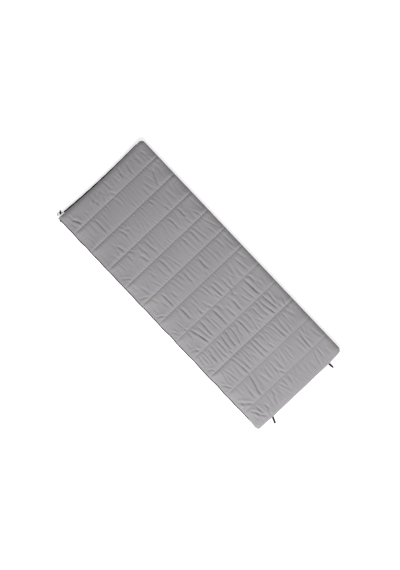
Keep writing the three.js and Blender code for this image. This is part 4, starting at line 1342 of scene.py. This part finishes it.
KNOT_SCALE, KNOT_CORD, KNOT_RISE = 0.00118, 0.00135, 0.0003


def overhand_knot():
    """A small overhand knot of the same cord, as a closed trefoil loop."""
    middle = centre("drawcord_knot")
    t = circle(72)
    path = np.stack([np.sin(t) + 2 * np.sin(2 * t), np.cos(t) - 2 * np.cos(2 * t),
                     -1.15 * np.sin(3 * t)], -1)
    path = path * KNOT_SCALE + np.array([middle.x, middle.y, middle.z + KNOT_RISE])
    sides = 12
    along = np.roll(path, -1, 0) - np.roll(path, 1, 0)
    along /= np.linalg.norm(along, axis=1)[:, None]
    side = np.cross(along, [0.0, 0.0, 1.0])
    side /= np.linalg.norm(side, axis=1)[:, None]
    normal = np.cross(side, along)
    angle = circle(sides)
    ring = (np.cos(angle)[None, :, None] * side[:, None, :]
            + np.sin(angle)[None, :, None] * normal[:, None, :])
    rings = path[:, None, :] + KNOT_CORD * ring
    total = len(path) * sides
    faces = [(a, d % total, c % total, b) for a, b, c, d in ring_faces(len(path) + 1, sides)]
    knot = Solids()
    knot.add(rings.reshape(-1, 3), faces)
    return knot.piece("drawcord_end_knot", CORD_BRAID, 80.0)


# ---------------------------------------------------------------- cord lock
lock_along = np.array(TAIL_ROUTE[TAIL_STRAIGHT[1]]) - np.array(TAIL_ROUTE[TAIL_STRAIGHT[0]])
lock_along = lock_along / np.linalg.norm(lock_along)
lock_axis = np.array([lock_along[1], -lock_along[0], 0.0])
LOCK_TURN = np.stack([lock_along, np.cross(lock_axis, lock_along), lock_axis], 1)
LOCK_MIDDLE = TAIL_EXIT + (np.array(TAIL_ROUTE[TAIL_STRAIGHT[0]])
                           + np.array(TAIL_ROUTE[TAIL_STRAIGHT[1]])) / 2 * MM


def lathe(profile, sides, flutes=0.0, fluted=(0.0, 0.0)):
    """A turned solid from a profile of (radius, height) that starts and ends on its axis."""
    profile = np.asarray(profile, float)
    angle = circle(sides)
    ringed = profile[1:-1]
    radius = np.repeat(ringed[:, :1], sides, 1)
    inside = (ringed[:, 1] > fluted[0]) & (ringed[:, 1] < fluted[1])
    outermost = ringed[:, 0] > ringed[:, 0].max() * 0.93
    radius = radius - (inside & outermost)[:, None] * flutes * (0.5 + 0.5 * np.cos(12.0 * angle)) ** 2
    rings = np.stack([radius * np.cos(angle), radius * np.sin(angle),
                      np.repeat(ringed[:, 1:], sides, 1)], -1)
    points = np.concatenate([rings.reshape(-1, 3), [[0, 0, profile[0, 1]]], [[0, 0, profile[-1, 1]]]])
    return points, capped_faces(len(ringed), sides)


def profile_mm(points):
    return [(r * MM, z * MM) for r, z in points]


def lock_solid(name, points, faces, material):
    solid = Solids()
    solid.add(points, faces, LOCK_TURN, LOCK_MIDDLE)
    return solid.piece(name, material, 35.0)


def cord_lock():
    barrel_profile = profile_mm([
        (0, -12), (4.6, -12), (5.6, -11.8), (6.2, -11.2), (6.45, -10.4), (6.5, -9.6), (6.5, -8),
        (6.5, -6), (6.5, -4), (6.5, -2), (6.5, 0), (6.5, 2), (6.5, 3.6), (6.5, 5), (6.45, 6.2),
        (6.2, 6.8), (5.8, 7), (5.1, 7), (4.75, 6.7), (4.7, 6), (4.7, -10.2), (4.5, -10.5), (0, -10.5),
    ])
    points, faces = lathe(barrel_profile, 96, 0.0004, (-0.0085, 0.0045))
    barrel = lock_solid("cord_lock_housing", points, faces, LOCK_PLASTIC)
    hole_points, hole_faces = lathe(profile_mm([(0, -12), (2.3, -12), (2.3, 12), (0, 12)]), 32)
    across = np.array([[0, 0, 1], [0, 1, 0], [-1, 0, 0]], float)
    cut(barrel, lock_solid("hole", hole_points @ across.T, hole_faces, LOCK_PLASTIC))
    plunger_profile = profile_mm([
        (0, -3.3), (3.9, -3.3), (4.3, -3.0), (4.4, -2.6), (4.4, 11.1), (5.3, 11.1), (5.75, 11.4),
        (5.8, 11.9), (5.8, 12.8), (5.6, 13.5), (5.1, 13.9), (4.3, 14.05), (4.1, 13.8), (3.7, 13.75),
        (3.5, 14.05), (2.7, 14.1), (2.5, 13.85), (2.1, 13.85), (1.9, 14.1), (0, 14.1),
    ])
    points, faces = lathe(plunger_profile, 64)
    plunger = lock_solid("cord_lock_button", points, faces, LOCK_PLASTIC)
    slot_outline = rounded_rectangle(0.0018, 0.00355, 0.0017, 8)
    slot_points, slot_faces = rounded_plate(slot_outline, 0.016, 0.0001)
    turn = np.array([[0, 0, 1], [1, 0, 0], [0, 1, 0]], float)
    slot_points = slot_points @ turn.T + np.array([0.0, 0.0, 0.00175])
    cut(plunger, lock_solid("slot", slot_points, slot_faces, LOCK_PLASTIC))
    turns = np.linspace(0.0, 3.0, 97)
    coil = np.stack([3.0 * np.cos(turns * 2 * math.pi), 3.0 * np.sin(turns * 2 * math.pi),
                     -10.05 + 2.75 * smoothstep(turns, -0.3, 3.3)], -1) * MM
    coil = coil @ LOCK_TURN.T + LOCK_MIDDLE
    spring = add_tube("cord_lock_coil_spring", coil, 0.00033, 8, SPRING_STEEL)
    return barrel, plunger, spring


tail, tail_length = tail_cord()
knot = overhand_knot()
barrel, plunger, spring = cord_lock()
for piece, node, slot, rides in (
    (tail, "drawcord_tail", "black_cord", "lower_half"),
    (knot, "drawcord_knot", "black_cord", "lower_half"),
    (barrel, "cord_lock_barrel", "lock_plastic", "cord_lock"),
    (plunger, "cord_lock_plunger", "lock_plastic", "cord_lock_plunger"),
    (spring, "cord_lock_spring", "spring_steel", "cord_lock"),
):
    hand_over(piece, slot, rides, node)

# ---------------------------------------------------------------- hanging loops
TAPE_WIDTH, TAPE_PLY = 0.013, 0.0011
LOOP_STEPS, LOOP_BEND_STEPS = 40, 15
LOOP_ROOT = -0.003  # where the tape starts, inside the hem
TACK_STITCHES, TACK_RISE, TACK_LEAN = 19, 0.0014, 0.12
# each loop's yaw and twist in degrees, half the space between its plies, its tip's height and
# how far its middle sags
LOOPS = {"left": (-21.0, 8.0, 0.00212, 0.0032, 0.0), "right": (5.0, 66.0, 0.0011, 0.0074, 0.0016)}


def hanging_loop(name):
    """A band of woven tape folded double, its two ends caught under a bartack."""
    yaw_degrees, twist_degrees, radius, tip_height, sag = LOOPS[name]
    seam = centre(f"hanging_loop_bartack_{name}")
    low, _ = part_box(f"hanging_loop_{name}")
    yaw = math.radians(yaw_degrees)
    out = np.array([math.sin(yaw), -math.cos(yaw), 0.0])
    right = np.array([math.cos(yaw), math.sin(yaw), 0.0])
    reach = (FOOT - low.y) / math.cos(yaw) - 0.0035
    bend = np.linspace(0, math.pi, LOOP_BEND_STEPS)
    there = np.linspace(LOOP_ROOT, reach - radius, LOOP_STEPS)
    u = np.concatenate([there, reach - radius + radius * np.sin(bend)[1:-1],
                        np.linspace(reach - radius, LOOP_ROOT, LOOP_STEPS)])
    w = np.concatenate([np.full(LOOP_STEPS, radius), radius * np.cos(bend)[1:-1],
                        np.full(LOOP_STEPS, -radius)])
    w = w * (0.35 + 0.65 * smoothstep(u, 0.002, 0.014))
    angle = math.radians(twist_degrees) * smoothstep(u, 0.014, reach)
    dip = (seam.z - tip_height) * smoothstep(u, 0.002, reach * 0.62)
    dip = dip + sag * np.sin(math.pi * np.clip(u / reach, 0.0, 1.0))
    across = np.linspace(-0.5, 0.5, 9) * TAPE_WIDTH
    root = np.array([seam.x, FOOT, seam.z])
    cup = 0.0005 * (np.abs(across) / (TAPE_WIDTH / 2)) ** 2
    side = across[None, :] * np.cos(angle)[:, None] - w[:, None] * np.sin(angle)[:, None]
    lift = across[None, :] * np.sin(angle)[:, None] + w[:, None] * np.cos(angle)[:, None]
    centre_line = root + u[:, None] * out - dip[:, None] * np.array([0.0, 0.0, 1.0])
    grid = (centre_line[:, None, :] + side[..., None] * right
            + (lift + cup[None, :] * np.sign(w)[:, None])[..., None] * np.array([0.0, 0.0, 1.0]))
    normals = grid_normals(grid)
    front, back = grid + normals * TAPE_PLY / 2, grid - normals * TAPE_PLY / 2
    piece = closed_sheet(f"{name}_loop_tape", back, front, LOOP_TAPE)
    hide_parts(f"hanging_loop_{name}")
    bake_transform(piece)
    threads = []
    for k in range(TACK_STITCHES):
        x = seam.x + (k / (TACK_STITCHES - 1) - 0.5) * (TAPE_WIDTH - 0.0012)
        for level in (-1.0, 1.0):
            threads.append((x, FOOT - 0.0006, seam.z + level * TACK_RISE))
    threads = np.array(threads)
    lean = np.tile([TACK_LEAN, 1.0, 0.0], (len(threads), 1))
    lean[::2, 0] = -TACK_LEAN
    points, faces = capsule(0.0034, 0.00036, 6, 4, 1.0)
    tack = scatter(f"{name}_loop_bartack", points, faces, frames_along(threads, lean), BLACK_THREAD)
    hand_over(tack, "black_thread", "lower_half", f"hanging_loop_bartack_{name}")


for name in LOOPS:
    hanging_loop(name)

# ---------------------------------------------------------------- floor and light
FLOOR_HALF, FLOOR_Z, FLOOR_GLOW = 9.0, -0.0008, 0.6
WHITE = new_material("floor", (0.93, 0.93, 0.93), 0.9, specular=0.1)
shader_of(WHITE).inputs["Emission Color"].default_value = (1.0, 1.0, 1.0, 1.0)
shader_of(WHITE).inputs["Emission Strength"].default_value = FLOOR_GLOW
floor_points = [(CENTRE_X + sx * FLOOR_HALF, CENTRE_Y + sy * FLOOR_HALF, FLOOR_Z)
                for sx, sy in ((-1, -1), (1, -1), (1, 1), (-1, 1))]
floor = add_mesh("floor", floor_points, [(0, 1, 2, 3)], WHITE, False)

KEY_PLACE = Vector((-0.69 * 4.6, -0.72 * 4.6, 4.6))  # from the zip's foot corner, 45 degrees up
KEY_SIZE, KEY_POWER = 1.6, 460.0
ROOM_LIGHT = 0.3


def key_light():
    data = bpy.data.lights.new("key", "AREA")
    data.shape, data.size, data.energy = "SQUARE", KEY_SIZE, KEY_POWER
    lamp = bpy.data.objects.new("key", data)
    lamp.location = KEY_PLACE
    toward = Vector((CENTRE_X, CENTRE_Y, 0.0)) - KEY_PLACE
    lamp.rotation_euler = toward.to_track_quat("-Z", "Y").to_euler()
    bpy.context.scene.collection.objects.link(lamp)


key_light()
world = bpy.data.worlds.new("studio")
world.use_nodes = True
background = world.node_tree.nodes["Background"]
background.inputs["Color"].default_value = (1.0, 1.0, 1.0, 1.0)
background.inputs["Strength"].default_value = ROOM_LIGHT
bpy.context.scene.world = world
bpy.context.scene.view_settings.view_transform = "Standard"
